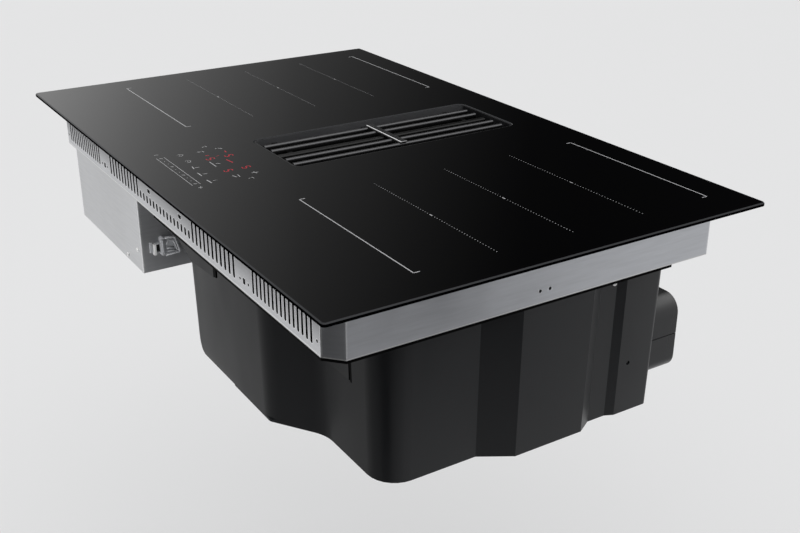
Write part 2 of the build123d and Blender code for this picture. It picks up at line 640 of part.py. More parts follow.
# ======================================== filter unit that lifts out after the grille
with BuildPart() as filter_carrier:
    with BuildSketch(Plane.XY.offset(LEDGE_Z)):
        with Locations((0, INTAKE_Y)):
            RectangleRounded(CARRIER_W, CARRIER_L, CARRIER_R)
            Rectangle(CARRIER_INSIDE_W, FILTER_L, mode=Mode.SUBTRACT)
    extrude(amount=CARRIER_WALL)
    with BuildSketch(Plane.XY.offset(LEDGE_Z)):
        with Locations((0, INTAKE_Y)):
            RectangleRounded(CARRIER_W, CARRIER_L, CARRIER_R)
            offset(amount=-CARRIER_WALL, mode=Mode.SUBTRACT)
    extrude(amount=CARRIER_RIM_H)
    for end in (-1, 1):
        end_y = INTAKE_Y + end * (CARRIER_BODY_L - CARRIER_WALL) / 2
        with BuildSketch(xz_plane(end_y + CARRIER_WALL / 2)):
            with BuildLine():
                Polyline(
                    (-CARRIER_BODY_W / 2, LEDGE_Z),
                    (-DRIP_W / 2, CARRIER_FOOT),
                    (DRIP_W / 2, CARRIER_FOOT),
                    (CARRIER_BODY_W / 2, LEDGE_Z),
                    close=True,
                )
            make_face()
        extrude(amount=CARRIER_WALL)
finish(filter_carrier.part, "filter_carrier")

with BuildPart() as drip_tray:
    with BuildSketch(xz_plane(INTAKE_Y + FILTER_L / 2)):
        with Locations((0, CARRIER_FOOT + DRIP_H / 2)):
            Rectangle(DRIP_W - 2 * DRIP_WALL, DRIP_H)
    extrude(amount=FILTER_L)
    with BuildSketch(Plane.XY.offset(FILTER_FOOT_Z)):
        with Locations((0, INTAKE_Y)):
            Rectangle(DRIP_W - 4 * DRIP_WALL, FILTER_L - 2 * DRIP_WALL)
    extrude(amount=-(DRIP_H - DRIP_WALL), mode=Mode.SUBTRACT)
finish(drip_tray.part, "drip_tray")


def grease_filter(side):
    """One leaning mesh panel of the V, from the drip tray's wall up to the carrier's rim."""
    run = FILTER_TOP_X - FILTER_FOOT_X
    rise = LEDGE_Z - FILTER_FOOT_Z
    across = FILTER_T / (rise / sqrt(run**2 + rise**2))
    with BuildPart() as panel:
        with BuildSketch(xz_plane(INTAKE_Y + FILTER_L / 2)):
            with BuildLine():
                Polyline(
                    (side * FILTER_FOOT_X, FILTER_FOOT_Z),
                    (side * FILTER_TOP_X, LEDGE_Z),
                    (side * (FILTER_TOP_X - across), LEDGE_Z),
                    (side * (FILTER_FOOT_X - across), FILTER_FOOT_Z),
                    close=True,
                )
            make_face()
        extrude(amount=FILTER_L)
    return panel.part


for side_name, side in SIDES:
    finish(grease_filter(side), f"grease_filter_{side_name}")

# ======================================== sheet-metal casing
CASING_CORNERS = [
    (-PANEL_L / 2, -CASING_W / 2),
    (PANEL_L / 2, -CASING_W / 2),
    (CASING_L / 2, -CASING_W / 2 + CORNER_Y),
    (CASING_L / 2, CASING_W / 2 - CORNER_Y),
    (PANEL_L / 2, CASING_W / 2),
    (-PANEL_L / 2, CASING_W / 2),
    (-CASING_L / 2, CASING_W / 2 - CORNER_Y),
    (-CASING_L / 2, -CASING_W / 2 + CORNER_Y),
]


def casing_outline():
    """Adds the casing's plan, a rectangle with its four corners cut off, to the sketch in hand."""
    with BuildLine() as outline:
        Polyline(*CASING_CORNERS, close=True)
    make_face(outline.edges())


def flange_holes():
    """Cuts the holes of the flange screws through the part in hand."""
    with BuildSketch(Plane.XY.offset(CASING_Z)) as holes:
        with Locations(*[(x, y) for x in CASING_SCREW_XS for y in (-FLANGE_SCREW_Y, FLANGE_SCREW_Y)]):
            Circle(SCREW_R + SCREW_GAP)
    extrude(holes.sketch, amount=2 * SHEET, mode=Mode.SUBTRACT)


def cut_slot(x, rise, width, height):
    """Cuts one upright vent slot, its foot rise above the casing's underside, from the sketch in hand."""
    with Locations((x, CASING_Z + rise + height / 2)):
        SlotOverall(height, width, rotation=90, mode=Mode.SUBTRACT)


def cut_end_vents():
    """Cuts the two end groups of long slots from the sketch in hand."""
    for side in (-1, 1):
        for index in range(END_VENT_COUNT):
            from_middle = index - (END_VENT_COUNT - 1) / 2
            cut_slot(side * END_VENT_X + from_middle * END_VENT_PITCH, VENT_RISE, END_VENT_W, VENT_H)


def panel_flange(side):
    """Adds the folded foot of the front (-1) or rear (1) panel, which lies on the floor."""
    with BuildSketch(Plane.XY.offset(FLOOR_TOP)) as foot:
        with Locations((0, side * FLANGE_SCREW_Y)):
            Rectangle(PANEL_L - 2 * FLANGE_W, FLANGE_W)
    extrude(foot.sketch, amount=SHEET)


with BuildPart() as casing_front:
    with BuildSketch(xz_plane(-CASING_W / 2)):
        with Locations((0, FLOOR_TOP + WALL_H / 2)):
            Rectangle(PANEL_L, WALL_H)
        for index in range(MID_VENT_COUNT):
            vent_x = (index - (MID_VENT_COUNT - 1) / 2) * MID_VENT_PITCH
            if -SHORT_VENTS_LEFT <= index - MID_VENT_COUNT // 2 < SHORT_VENTS_RIGHT:
                cut_slot(vent_x, SHORT_VENT_RISE, MID_VENT_W, SHORT_VENT_H)
            else:
                cut_slot(vent_x, VENT_RISE, MID_VENT_W, VENT_H)
        cut_end_vents()
        with Locations(*[(x, CASING_Z + LATCH_HOLE_RISE) for x in LATCH_HOLE_XS]):
            Rectangle(LATCH_HOLE_W, LATCH_HOLE_H, mode=Mode.SUBTRACT)
        with Locations(*[(side * CLIP_HOLE_X, CASING_Z + CLIP_RISE) for side in (-1, 1)]):
            Rectangle(CLIP_HOLE_W, CLIP_HOLE_H, mode=Mode.SUBTRACT)
            with Locations((-CLIP_PIN_SPREAD, 0), (CLIP_PIN_SPREAD, 0)):
                Circle(CLIP_PIN_R, mode=Mode.SUBTRACT)
        with Locations(*[(side * END_HOLE_X, CASING_Z + END_HOLE_RISE) for side in (-1, 1)]):
            Circle(CLIP_PIN_R, mode=Mode.SUBTRACT)
    extrude(amount=-SHEET)
    panel_flange(-1)
    flange_holes()
finish(casing_front.part, "casing_front")

with BuildPart() as casing_rear:
    with BuildSketch(xz_plane(CASING_W / 2)):
        with Locations((0, FLOOR_TOP + WALL_H / 2)):
            Rectangle(PANEL_L, WALL_H)
        cut_end_vents()
    extrude(amount=SHEET)
    panel_flange(1)
    flange_holes()
finish(casing_rear.part, "casing_rear")

for side_name, side in SIDES:
    with BuildPart() as casing_side:
        with BuildSketch(Plane.XY.offset(FLOOR_TOP)):
            casing_outline()
            offset(amount=-SHEET, kind=Kind.INTERSECTION, mode=Mode.SUBTRACT)
            with Locations((side * (PANEL_L / 2 + CORNER_X / 2), 0)):
                Rectangle(CORNER_X, CASING_W, mode=Mode.INTERSECT)
        extrude(amount=WALL_H)
        with BuildSketch(yz_plane(side * CASING_L / 2)):
            with Locations(*[(half * SIDE_HOLE_SPREAD / 2, CASING_Z + SIDE_HOLE_RISE) for half in (-1, 1)]):
                Circle(SIDE_HOLE_R)
        extrude(amount=-side * 2 * SHEET, mode=Mode.SUBTRACT)
    finish(casing_side.part, f"casing_side_{side_name}")

with BuildPart() as casing_floor:
    with BuildSketch(Plane.XY.offset(CASING_Z)):
        casing_outline()
        with Locations((0, INTAKE_Y)):
            RectangleRounded(LINER_W + 2 * LIFT_GAP, LINER_L + 2 * LIFT_GAP, LINER_R, mode=Mode.SUBTRACT)
        with Locations((BOX_X, WIRE_HOLE_Y)):
            SlotOverall(WIRE_HOLE_L, WIRE_HOLE_W, mode=Mode.SUBTRACT)
    extrude(amount=SHEET)
    flange_holes()
    with BuildSketch(Plane.XY.offset(CASING_Z)):
        with Locations(*TUB_SCREWS):
            Circle(SCREW_R + SCREW_GAP)
    extrude(amount=SHEET, mode=Mode.SUBTRACT)
finish(casing_floor.part, "casing_floor")


def screw(plane, shank):
    """A pan-head screw: its head stands on the plane, its shank goes back through it."""
    with BuildSketch(plane) as head:
        Circle(SCREW_HEAD_R)
    extrude(head.sketch, amount=SCREW_HEAD_T)
    with BuildSketch(plane) as stem:
        Circle(SCREW_R)
    extrude(stem.sketch, amount=-shank)


with BuildPart() as casing_screws:
    for x in CASING_SCREW_XS:
        for y in (-FLANGE_SCREW_Y, FLANGE_SCREW_Y):
            screw(Plane(origin=(x, y, CASING_Z), z_dir=(0, 0, -1)), SCREW_GRIP)
finish(casing_screws.part, "casing_screws")

# ======================================== induction coils, four in a row on each side
for side_name, side in SIDES:
    with BuildPart() as mica_sheet:
        with BuildSketch(Plane.XY.offset(GLASS_Z - MICA_T)):
            with Locations((side * ZONE_X, ZONE_Y)):
                Rectangle(ZONE_L, ZONE_W)
        extrude(amount=MICA_T)
    finish(mica_sheet.part, f"mica_sheet_{side_name}")

    for number, coil_y in enumerate(COIL_YS, start=1):
        with BuildPart() as coil_winding:
            with BuildSketch(Plane.XY.offset(COIL_Z)):
                with Locations((side * ZONE_X, coil_y)):
                    SlotOverall(COIL_L, COIL_W)
                    SlotOverall(COIL_EYE_L, COIL_EYE_W, mode=Mode.SUBTRACT)
            extrude(amount=COIL_T)
        finish(coil_winding.part, f"coil_winding_{side_name}_{number}")

    with BuildPart() as coil_carrier:
        with BuildSketch(Plane.XY.offset(CARRIER_Z)):
            with Locations((side * ZONE_X, ZONE_Y)):
                Rectangle(ZONE_L, ZONE_W)
            with Locations(*[(side * ZONE_X, y) for y in COIL_YS]):
                Circle(SENSOR_R + SENSOR_GAP, mode=Mode.SUBTRACT)
        extrude(amount=CARRIER_T)
    finish(coil_carrier.part, f"coil_carrier_{side_name}")

    with BuildPart() as coil_ferrites:
        with BuildSketch(Plane.XY.offset(FERRITE_Z)):
            for coil_y in COIL_YS:
                with Locations((side * ZONE_X, coil_y)):
                    with GridLocations(FERRITE_STEP, COIL_W / 2, FERRITE_COLUMNS, 2):
                        Rectangle(FERRITE_W, FERRITE_L)
        extrude(amount=FERRITE_T)
    finish(coil_ferrites.part, f"coil_ferrites_{side_name}")

    with BuildPart() as coil_plate:
        with BuildSketch(Plane.XY.offset(COIL_PLATE_Z)):
            with Locations((side * ZONE_X, ZONE_Y)):
                Rectangle(ZONE_L + 2 * ZONE_MARGIN, ZONE_W + 2 * ZONE_MARGIN)
        extrude(amount=COIL_PLATE_T)
    finish(coil_plate.part, f"coil_plate_{side_name}")

with BuildPart() as coil_sensors:
    with BuildSketch(Plane.XY.offset(CARRIER_Z)):
        with Locations(*[(side * ZONE_X, y) for _, side in SIDES for y in COIL_YS]):
            Circle(SENSOR_R)
    extrude(amount=GLASS_Z - MICA_T - CARRIER_Z)
finish(coil_sensors.part, "coil_sensors")

with BuildPart() as coil_posts:
    with BuildSketch(Plane.XY.offset(FLOOR_TOP)):
        for _, side in SIDES:
            with Locations((side * ZONE_X, ZONE_Y)):
                with GridLocations(ZONE_L - 4 * POST_R, (ZONE_W - 4 * POST_R) / 2, 2, 3):
                    Circle(POST_R)
    extrude(amount=COIL_PLATE_Z - FLOOR_TOP)
finish(coil_posts.part, "coil_posts")

# ======================================== touch controls
with BuildPart() as touch_frame:
    with BuildSketch(Plane.XY.offset(TOUCH_FRAME_Z)):
        with Locations((0, TOUCH_Y)):
            Rectangle(TOUCH_L + 2 * TOUCH_FRAME_WALL, TOUCH_W + 2 * TOUCH_FRAME_WALL)
            Rectangle(TOUCH_L, TOUCH_W, mode=Mode.SUBTRACT)
    extrude(amount=TOUCH_FRAME_H)
finish(touch_frame.part, "touch_frame")

with BuildPart() as touch_board:
    with BuildSketch(Plane.XY.offset(TOUCH_BOARD_TOP)):
        with Locations((0, TOUCH_Y)):
            Rectangle(TOUCH_L - 2 * TOUCH_GAP, TOUCH_W - 2 * TOUCH_GAP)
    extrude(amount=-BOARD_T)
    with BuildSketch(Plane.XY.offset(TOUCH_BOARD_TOP)):
        with Locations(*[(x, KEY_ROW_Y) for x in KEY_ROW_XS]):
            Circle(KEY_R)
        with Locations((0, SLIDER_Y)):
            SlotOverall(SLIDER_L, SLIDER_W)
    extrude(amount=GLASS_Z - TOUCH_BOARD_TOP)
finish(touch_board.part, "touch_board")

with BuildPart() as display_digits:
    with BuildSketch(Plane.XY.offset(TOUCH_BOARD_TOP)):
        with Locations(*[(x, y) for x in DIGIT_XS for y in DIGIT_YS]):
            Rectangle(DIGIT_L, DIGIT_W)
    extrude(amount=GLASS_Z - TOUCH_BOARD_TOP)
finish(display_digits.part, "display_digits")

# ======================================== electronics box
with BuildPart() as electronics_box:
    with BuildSketch(Plane.XY.offset(BOX_BOTTOM)):
        with Locations((BOX_X - SHEET / 2, BOX_Y)):
            Rectangle(BOX_L - SHEET, BOX_W)
    extrude(amount=BOX_H)
    with BuildSketch(Plane.XY.offset(BOX_INSIDE_Z)):
        with Locations((BOX_X + SHEET / 2, BOX_Y)):
            Rectangle(BOX_L - SHEET, BOX_W - 2 * SHEET)
    extrude(amount=BOX_H, mode=Mode.SUBTRACT)
    with BuildSketch(Plane.XY.offset(BOX_TOP)):
        with Locations((BOX_LEFT_X - BOX_FLANGE / 2, BOX_Y)):
            Rectangle(BOX_FLANGE, BOX_W)
        with Locations((BOX_X - SHEET / 2, BOX_REAR_Y + BOX_FLANGE / 2)):
            Rectangle(BOX_L - SHEET, BOX_FLANGE)
    extrude(amount=-SHEET)
    with BuildSketch(Plane.XY.offset(BOX_BOTTOM)):
        with Locations((FAN_X, FAN_Y)):
            for index in range(FAN_GRID_COUNT):
                slot_x = (index - (FAN_GRID_COUNT - 1) / 2) * FAN_GRID_STEP
                with Locations((slot_x, 0)):
                    slot_l = 2 * sqrt(FAN_BORE_R**2 - slot_x**2)
                    SlotOverall(slot_l, FAN_GRID_W, rotation=90)
    extrude(amount=SHEET, mode=Mode.SUBTRACT)
    with BuildSketch(xz_plane(BOX_FRONT_Y)):
        with Locations(*BOX_SCREWS):
            Circle(SCREW_R + SCREW_GAP)
    extrude(amount=-SHEET, mode=Mode.SUBTRACT)
finish(electronics_box.part, "electronics_box")

with BuildPart() as box_side_cover:
    with BuildSketch(yz_plane(BOX_RIGHT_X)):
        with Locations((BOX_Y, BOX_BOTTOM + BOX_H / 2)):
            Rectangle(BOX_W, BOX_H)
        with Locations((ENTRY_Y, ENTRY_Z)):
            Circle(ENTRY_R + GROMMET_WALL, mode=Mode.SUBTRACT)
    extrude(amount=-SHEET)
    with BuildSketch(xz_plane(BOX_FRONT_Y + SHEET)):
        with Locations((BOX_RIGHT_X - SHEET - COVER_RETURN / 2, BOX_INSIDE_Z + (BOX_H - SHEET) / 2)):
            Rectangle(COVER_RETURN, BOX_H - SHEET)
        with Locations(*BOX_SCREWS):
            Circle(SCREW_R + SCREW_GAP, mode=Mode.SUBTRACT)
    extrude(amount=-SHEET)
finish(box_side_cover.part, "box_side_cover")

with BuildPart() as box_screws:
    for x, z in BOX_SCREWS:
        screw(Plane(origin=(x, BOX_FRONT_Y, z), z_dir=(0, -1, 0)), SCREW_GRIP)
finish(box_screws.part, "box_screws")

with BuildPart() as power_board:
    with BuildSketch(Plane.XY.offset(POWER_BOARD_Z)):
        with Locations((POWER_BOARD_X, POWER_BOARD_Y)):
            Rectangle(POWER_BOARD_L, POWER_BOARD_W)
    extrude(amount=BOARD_T)
    with BuildSketch(Plane.XY.offset(BOX_INSIDE_Z)):
        with Locations((POWER_BOARD_X, POWER_BOARD_Y)):
            with GridLocations(POWER_FEET_L, POWER_FEET_W, 2, 2):
                Circle(SCREW_HEAD_R)
    extrude(amount=STANDOFF)
finish(power_board.part, "power_board")

with BuildPart() as heatsink:
    with BuildSketch(xz_plane(POWER_BOARD_Y + SINK_W / 2)):
        with Locations((SINK_X, POWER_BOARD_TOP + SINK_BASE_T / 2)):
            Rectangle(SINK_L, SINK_BASE_T)
        for index in range(SINK_FINS):
            fin_x = SINK_X - (SINK_L - SINK_FIN_T) / 2 + (SINK_L - SINK_FIN_T) * index / (SINK_FINS - 1)
            with Locations((fin_x, POWER_BOARD_TOP + SINK_H / 2)):
                Rectangle(SINK_FIN_T, SINK_H)
    extrude(amount=SINK_W)
finish(heatsink.part, "heatsink")

with BuildPart() as power_components:
    with BuildSketch(Plane.XY.offset(POWER_BOARD_TOP)):
        with Locations((PARTS_X - CAPACITOR_STEP / 2, POWER_BOARD_Y)):
            with GridLocations(CAPACITOR_STEP, CAPACITOR_STEP, 1, CAPACITOR_COUNT):
                Circle(CAPACITOR_R)
    extrude(amount=CAPACITOR_H)
    with BuildSketch(Plane.XY.offset(POWER_BOARD_TOP)):
        with Locations((PARTS_X + CHOKE_R, POWER_BOARD_Y)):
            with GridLocations(CHOKE_STEP, CHOKE_STEP, 1, CHOKE_COUNT):
                Circle(CHOKE_R)
                Circle(CHOKE_HOLE_R, mode=Mode.SUBTRACT)
    extrude(amount=CHOKE_H)
finish(power_components.part, "power_components")

with BuildPart() as mains_filter_board:
    with BuildSketch(Plane.XY.offset(POWER_BOARD_Z)):
        with Locations((MAINS_BOARD_X, MAINS_BOARD_Y)):
            Rectangle(MAINS_BOARD_L, MAINS_BOARD_W)
    extrude(amount=BOARD_T)
    with BuildSketch(Plane.XY.offset(BOX_INSIDE_Z)):
        with Locations((MAINS_BOARD_X, MAINS_BOARD_Y)):
            with GridLocations(MAINS_FEET_L, MAINS_FEET_W, 2, 2):
                Circle(SCREW_HEAD_R)
    extrude(amount=STANDOFF)
    with BuildSketch(Plane.XY.offset(POWER_BOARD_TOP)):
        with Locations((MAINS_BOARD_X, MAINS_BOARD_Y)):
            with GridLocations(MAINS_BOARD_L / 2, MAINS_BOARD_W / 2, 2, 2):
                Rectangle(MAINS_BOARD_L / 3, MAINS_BOARD_W / 3)
    extrude(amount=CHOKE_H)
finish(mains_filter_board.part, "mains_filter_board")

with BuildPart() as terminal_block:
    with BuildSketch(Plane.XY.offset(BOX_INSIDE_Z)):
        with Locations((TERMINAL_X, TERMINAL_Y)):
            Rectangle(TERMINAL_L, TERMINAL_W)
    extrude(amount=TERMINAL_H)
    with BuildSketch(Plane.XY.offset(BOX_INSIDE_Z + TERMINAL_H)):
        with Locations((TERMINAL_X, TERMINAL_Y)):
            with GridLocations(TERMINAL_L, TERMINAL_W / TERMINAL_WAYS, 1, TERMINAL_WAYS):
                Circle(TERMINAL_HOLE_R)
    extrude(amount=-TERMINAL_H / 2, mode=Mode.SUBTRACT)
finish(terminal_block.part, "terminal_block")

# ======================================== cooling fan of the electronics
with BuildPart() as cooling_fan_frame:
    with BuildSketch(Plane.XY.offset(BOX_INSIDE_Z)):
        with Locations((FAN_X, FAN_Y)):
            RectangleRounded(FAN_SIZE, FAN_SIZE, FAN_SIZE / 2 - FAN_BORE_R)
            Circle(FAN_BORE_R, mode=Mode.SUBTRACT)
    extrude(amount=FAN_T)
    with BuildSketch(Plane.XY.offset(BOX_INSIDE_Z)):
        with Locations((FAN_X, FAN_Y)):
            Circle(FAN_HUB_R)
            for index in range(FAN_SPOKES // 2):
                Rectangle(2 * (FAN_BORE_R + FAN_SPOKE_BITE), FAN_SPOKE_W, rotation=45 + 90 * index)
    extrude(amount=FAN_HUB_SEAT_T)
finish(cooling_fan_frame.part, "cooling_fan_frame")

with BuildPart() as cooling_fan_rotor:
    with Locations((FAN_X, FAN_Y, FAN_ROTOR_Z + FAN_HUB_T / 2)):
        Cylinder(FAN_HUB_R, FAN_HUB_T)
        with PolarLocations(FAN_HUB_R + FAN_BLADE_L / 2 - FAN_BLADE_BITE, FAN_BLADES):
            Box(FAN_BLADE_L, FAN_BLADE_W, FAN_BLADE_T, rotation=(FAN_BLADE_LEAN, 0, 0))
    with Locations((FAN_X, FAN_Y, FAN_ROTOR_Z + FAN_HUB_T / 2)):
        Cylinder(FAN_ROTOR_R, FAN_HUB_T, mode=Mode.INTERSECT)
finish(cooling_fan_rotor.part, "cooling_fan_rotor")

# ======================================== mains cable entry
with BuildPart() as cable_grommet:
    with BuildSketch(yz_plane(BOX_RIGHT_X - SHEET - GROMMET_LIP_T)):
        with Locations((ENTRY_Y, ENTRY_Z)):
            Circle(ENTRY_R + GROMMET_WALL)
    extrude(amount=SHEET + 2 * GROMMET_LIP_T)
    for lip_x in (BOX_RIGHT_X - SHEET - GROMMET_LIP_T, BOX_RIGHT_X):
        with BuildSketch(yz_plane(lip_x)):
            with Locations((ENTRY_Y, ENTRY_Z)):
                Circle(ENTRY_R + GROMMET_WALL + GROMMET_LIP)
        extrude(amount=GROMMET_LIP_T)
    with BuildSketch(yz_plane(BOX_RIGHT_X - SHEET - GROMMET_LIP_T)):
        with Locations((ENTRY_Y, ENTRY_Z)):
            Circle(ENTRY_R)
    extrude(amount=SHEET + 2 * GROMMET_LIP_T, mode=Mode.SUBTRACT)
finish(cable_grommet.part, "cable_grommet")

with BuildPart() as cable_clamp:
    with BuildSketch(yz_plane(BOX_RIGHT_X)):
        with Locations((CLAMP_Y, ENTRY_Z)):
            RectangleRounded(CLAMP_W, CLAMP_H, CLAMP_R)
    extrude(amount=CLAMP_T)
    with BuildSketch(yz_plane(BOX_RIGHT_X + CLAMP_T)):
        with Locations((CLAMP_Y, ENTRY_Z)):
            with GridLocations(CLAMP_SLOT_SPREAD, CLAMP_SLOT_H, 2, 1):
                SlotOverall(CLAMP_SLOT_H, CLAMP_SLOT_W, rotation=90)
    extrude(amount=-CLAMP_T / 2, mode=Mode.SUBTRACT)
    with BuildSketch(yz_plane(BOX_RIGHT_X + CLAMP_STAND)):
        with Locations((CLAMP_BAR_Y, ENTRY_Z)):
            Rectangle(CLAMP_BAR_W, CLAMP_BAR_H)
        arm_z = (CLAMP_BAR_H - CLAMP_ARM_T) / 2
        arm_y = CLAMP_BAR_Y + CLAMP_ARM_L / 2
        with Locations((arm_y, ENTRY_Z - arm_z), (arm_y, ENTRY_Z + arm_z)):
            Rectangle(CLAMP_ARM_L, CLAMP_ARM_T)
    extrude(amount=CLAMP_T - CLAMP_STAND)
finish(cable_clamp.part, "cable_clamp")

# ======================================== fan housing: tub, lid, outlet
TUB_PLAN = [
    (TUB_LEFT_X, TUB_FRONT_Y),
    (TUB_BEND_X, TUB_FRONT_Y),
    (TUB_SHOULDER_X, TUB_RECESS_Y),
    (TUB_SIDE_X, TUB_RECESS_Y),
    (TUB_SIDE_X, TUB_SIDE_END_Y),
    (TUB_BULGE_X, TUB_BULGE_START_Y),
    (TUB_BULGE_X, TUB_BULGE_END_Y),
    (TUB_DIP_X, TUB_DIP_START_Y),
    (TUB_DIP_X, TUB_DIP_END_Y),
    (TUB_HEEL_X, TUB_HEEL_START_Y),
    (TUB_HEEL_X, TUB_REAR_Y),
    (TUB_LEFT_X, TUB_REAR_Y),
]
TUB_ROUNDED = [
    (TUB_LEFT_X, TUB_FRONT_Y, TUB_CORNER_R),
    (TUB_LEFT_X, TUB_REAR_Y, TUB_CORNER_R),
    (TUB_BEND_X, TUB_FRONT_Y, TUB_SHOULDER_R),
    (TUB_SHOULDER_X, TUB_RECESS_Y, TUB_SHOULDER_R),
    (TUB_SIDE_X, TUB_RECESS_Y, TUB_NOSE_R),
    (TUB_HEEL_X, TUB_REAR_Y, TUB_HEEL_R),
]


def tub_face(grow):
    """The tub's plan as one face, with its corners rounded, grown outwards by grow."""
    with BuildSketch() as plan:
        with BuildLine():
            Polyline(*TUB_PLAN, close=True)
        make_face()
        for x, y, radius in TUB_ROUNDED:
            fillet(plan.vertices().sort_by_distance((x, y, 0))[0], radius)
        if grow:
            offset(amount=grow, kind=Kind.INTERSECTION, mode=Mode.REPLACE)
    return plan.sketch


with BuildPart() as housing_tub:
    with BuildSketch(Plane.XY.offset(TUB_BOTTOM)):
        add(tub_face(0))
    extrude(amount=TUB_TOP - TUB_BOTTOM, taper=-TUB_DRAFT)
    with BuildSketch(Plane.XY.offset(FUNNEL_Z)):
        with Locations((0, INTAKE_Y)):
            RectangleRounded(FUNNEL_W, FUNNEL_L, INTAKE_R)
    extrude(amount=FUNNEL_DEPTH)
    with BuildSketch(Plane.XY.offset(TUB_BOTTOM)):
        add(tub_face(0))
        with Locations(((TUB_STEP_X + CASING_L) / 2, 0)):
            Rectangle(CASING_L - TUB_STEP_X, CASING_W, mode=Mode.INTERSECT)
    extrude(amount=-TUB_STEP)
    with BuildSketch(Plane.XY.offset(TUB_INSIDE_Z)):
        add(tub_face(-TUB_WALL))
    extrude(amount=TUB_TOP - TUB_INSIDE_Z, taper=-TUB_DRAFT, mode=Mode.SUBTRACT)
    with BuildSketch(Plane.XY.offset(FUNNEL_RIM_Z)):
        with Locations((0, INTAKE_Y)):
            RectangleRounded(FUNNEL_W - 2 * TUB_WALL, FUNNEL_L - 2 * TUB_WALL, INTAKE_R - TUB_WALL)
    extrude(amount=FUNNEL_DEPTH, mode=Mode.SUBTRACT)
    with BuildSketch(Plane.XY.offset(TUB_TOP)):
        with Locations(*TUB_SCREWS):
            Circle(BOSS_R)
    extrude(amount=-BOSS_H)
    with BuildSketch(Plane.XY.offset(TUB_TOP)):
        with Locations(*TUB_SCREWS):
            Circle(SCREW_R + SCREW_GAP)
    extrude(amount=-BOSS_H, mode=Mode.SUBTRACT)
    with BuildSketch(yz_plane(GUSSET_X - GUSSET_T / 2)):
        with BuildLine():
            Polyline(
                (GUSSET_ROOT_Y, GUSSET_Z),
                (GUSSET_ROOT_Y - GUSSET_REACH, TUB_TOP),
                (GUSSET_ROOT_Y, TUB_TOP),
                close=True,
            )
        make_face()
    extrude(amount=GUSSET_T)
    with BuildSketch(xz_plane(TUB_REAR_Y + 2 * TUB_WALL)):
        with Locations((OUTLET_X, OUTLET_MID_Z)):
            Rectangle(OUTLET_L + 2 * PORT_GAP, OUTLET_H + 2 * PORT_GAP)
    extrude(amount=5 * TUB_WALL, mode=Mode.SUBTRACT)
    with BuildSketch(yz_plane(TUB_HEEL_X + 2 * TUB_WALL)):
        with Locations((SIDE_PORT_Y, SIDE_PORT_Z)):
            Circle(SIDE_PORT_R)
    extrude(amount=-5 * TUB_WALL, mode=Mode.SUBTRACT)
    with BuildSketch(yz_plane(TUB_HEEL_X + 2 * TUB_WALL)):
        with Locations((SIDE_SCREW_Y, SIDE_SCREW_Z)):
            Circle(SCREW_R + SCREW_GAP)
    extrude(amount=-5 * TUB_WALL, mode=Mode.SUBTRACT)
finish(housing_tub.part, "housing_tub")

LIP_FOOT = [
    (LIP_LEFT_X, 0.0),
    (LIP_LEFT_X, LIP_SLOPE_H),
    (LIP_SLOPE_X, LIP_SLOPE_END_H),
    (LIP_TOOTH_X, LIP_TOOTH_H),
    (LIP_POINT_X, LIP_POINT_H),
    (LIP_HEEL_X, LIP_HEEL_H),
    (LIP_HEEL_X, LIP_NOTCH_H),
    (LIP_NOTCH_X, LIP_NOTCH_H),
    (LIP_NOTCH_X, LIP_TAIL_H),
    (LIP_RIGHT_X, LIP_TAIL_END_H),
    (LIP_RIGHT_X, 0.0),
]
with BuildPart() as housing_lid:
    with BuildSketch(Plane.XY.offset(TUB_TOP)):
        add(tub_face(TUB_TOP_GROWTH))
        with Locations((0, INTAKE_Y)):
            RectangleRounded(FUNNEL_W, FUNNEL_L, INTAKE_R)
        with Locations(((LIP_LEFT_X + LIP_RIGHT_X) / 2, (LIP_Y + TUB_FRONT_Y) / 2)):
            Rectangle(LIP_RIGHT_X - LIP_LEFT_X, TUB_FRONT_Y - LIP_Y)
        with Locations((0, INTAKE_Y)):
            RectangleRounded(LINER_W + 2 * LIFT_GAP, LINER_L + 2 * LIFT_GAP, LINER_R, mode=Mode.SUBTRACT)
        with Locations(*TUB_SCREWS):
            Circle(SCREW_R + SCREW_GAP, mode=Mode.SUBTRACT)
    extrude(amount=LID_T)
    with BuildSketch(xz_plane(LIP_Y)):
        with BuildLine():
            Polyline(*[(x, CASING_Z - drop) for x, drop in LIP_FOOT], close=True)
        make_face()
    extrude(amount=-LIP_T)
finish(housing_lid.part, "housing_lid")

with BuildPart() as housing_screws:
    for x, y in TUB_SCREWS:
        screw(Plane(origin=(x, y, FLOOR_TOP), z_dir=(0, 0, 1)), SHEET + LID_T + BOSS_H / 2)
    side_screw = Plane(origin=(SIDE_SCREW_X + SIDE_SCREW_GAP, SIDE_SCREW_Y, SIDE_SCREW_Z), z_dir=(1, 0, 0))
    screw(side_screw, TUB_WALL + SIDE_SCREW_GAP)
finish(housing_screws.part, "housing_screws")


def outlet_section(inset):
    """Adds the outlet's section: round at its top corners, tighter at its foot, drawn in by inset."""
    with BuildSketch() as section:
        with Locations((OUTLET_X, OUTLET_MID_Z)):
            Rectangle(OUTLET_L - 2 * inset, OUTLET_H - 2 * inset)
        fillet(section.vertices().group_by(Axis.Y)[-1], OUTLET_TOP_R - inset)
        fillet(section.vertices().group_by(Axis.Y)[0], OUTLET_BOTTOM_R - inset)
    return section.sketch


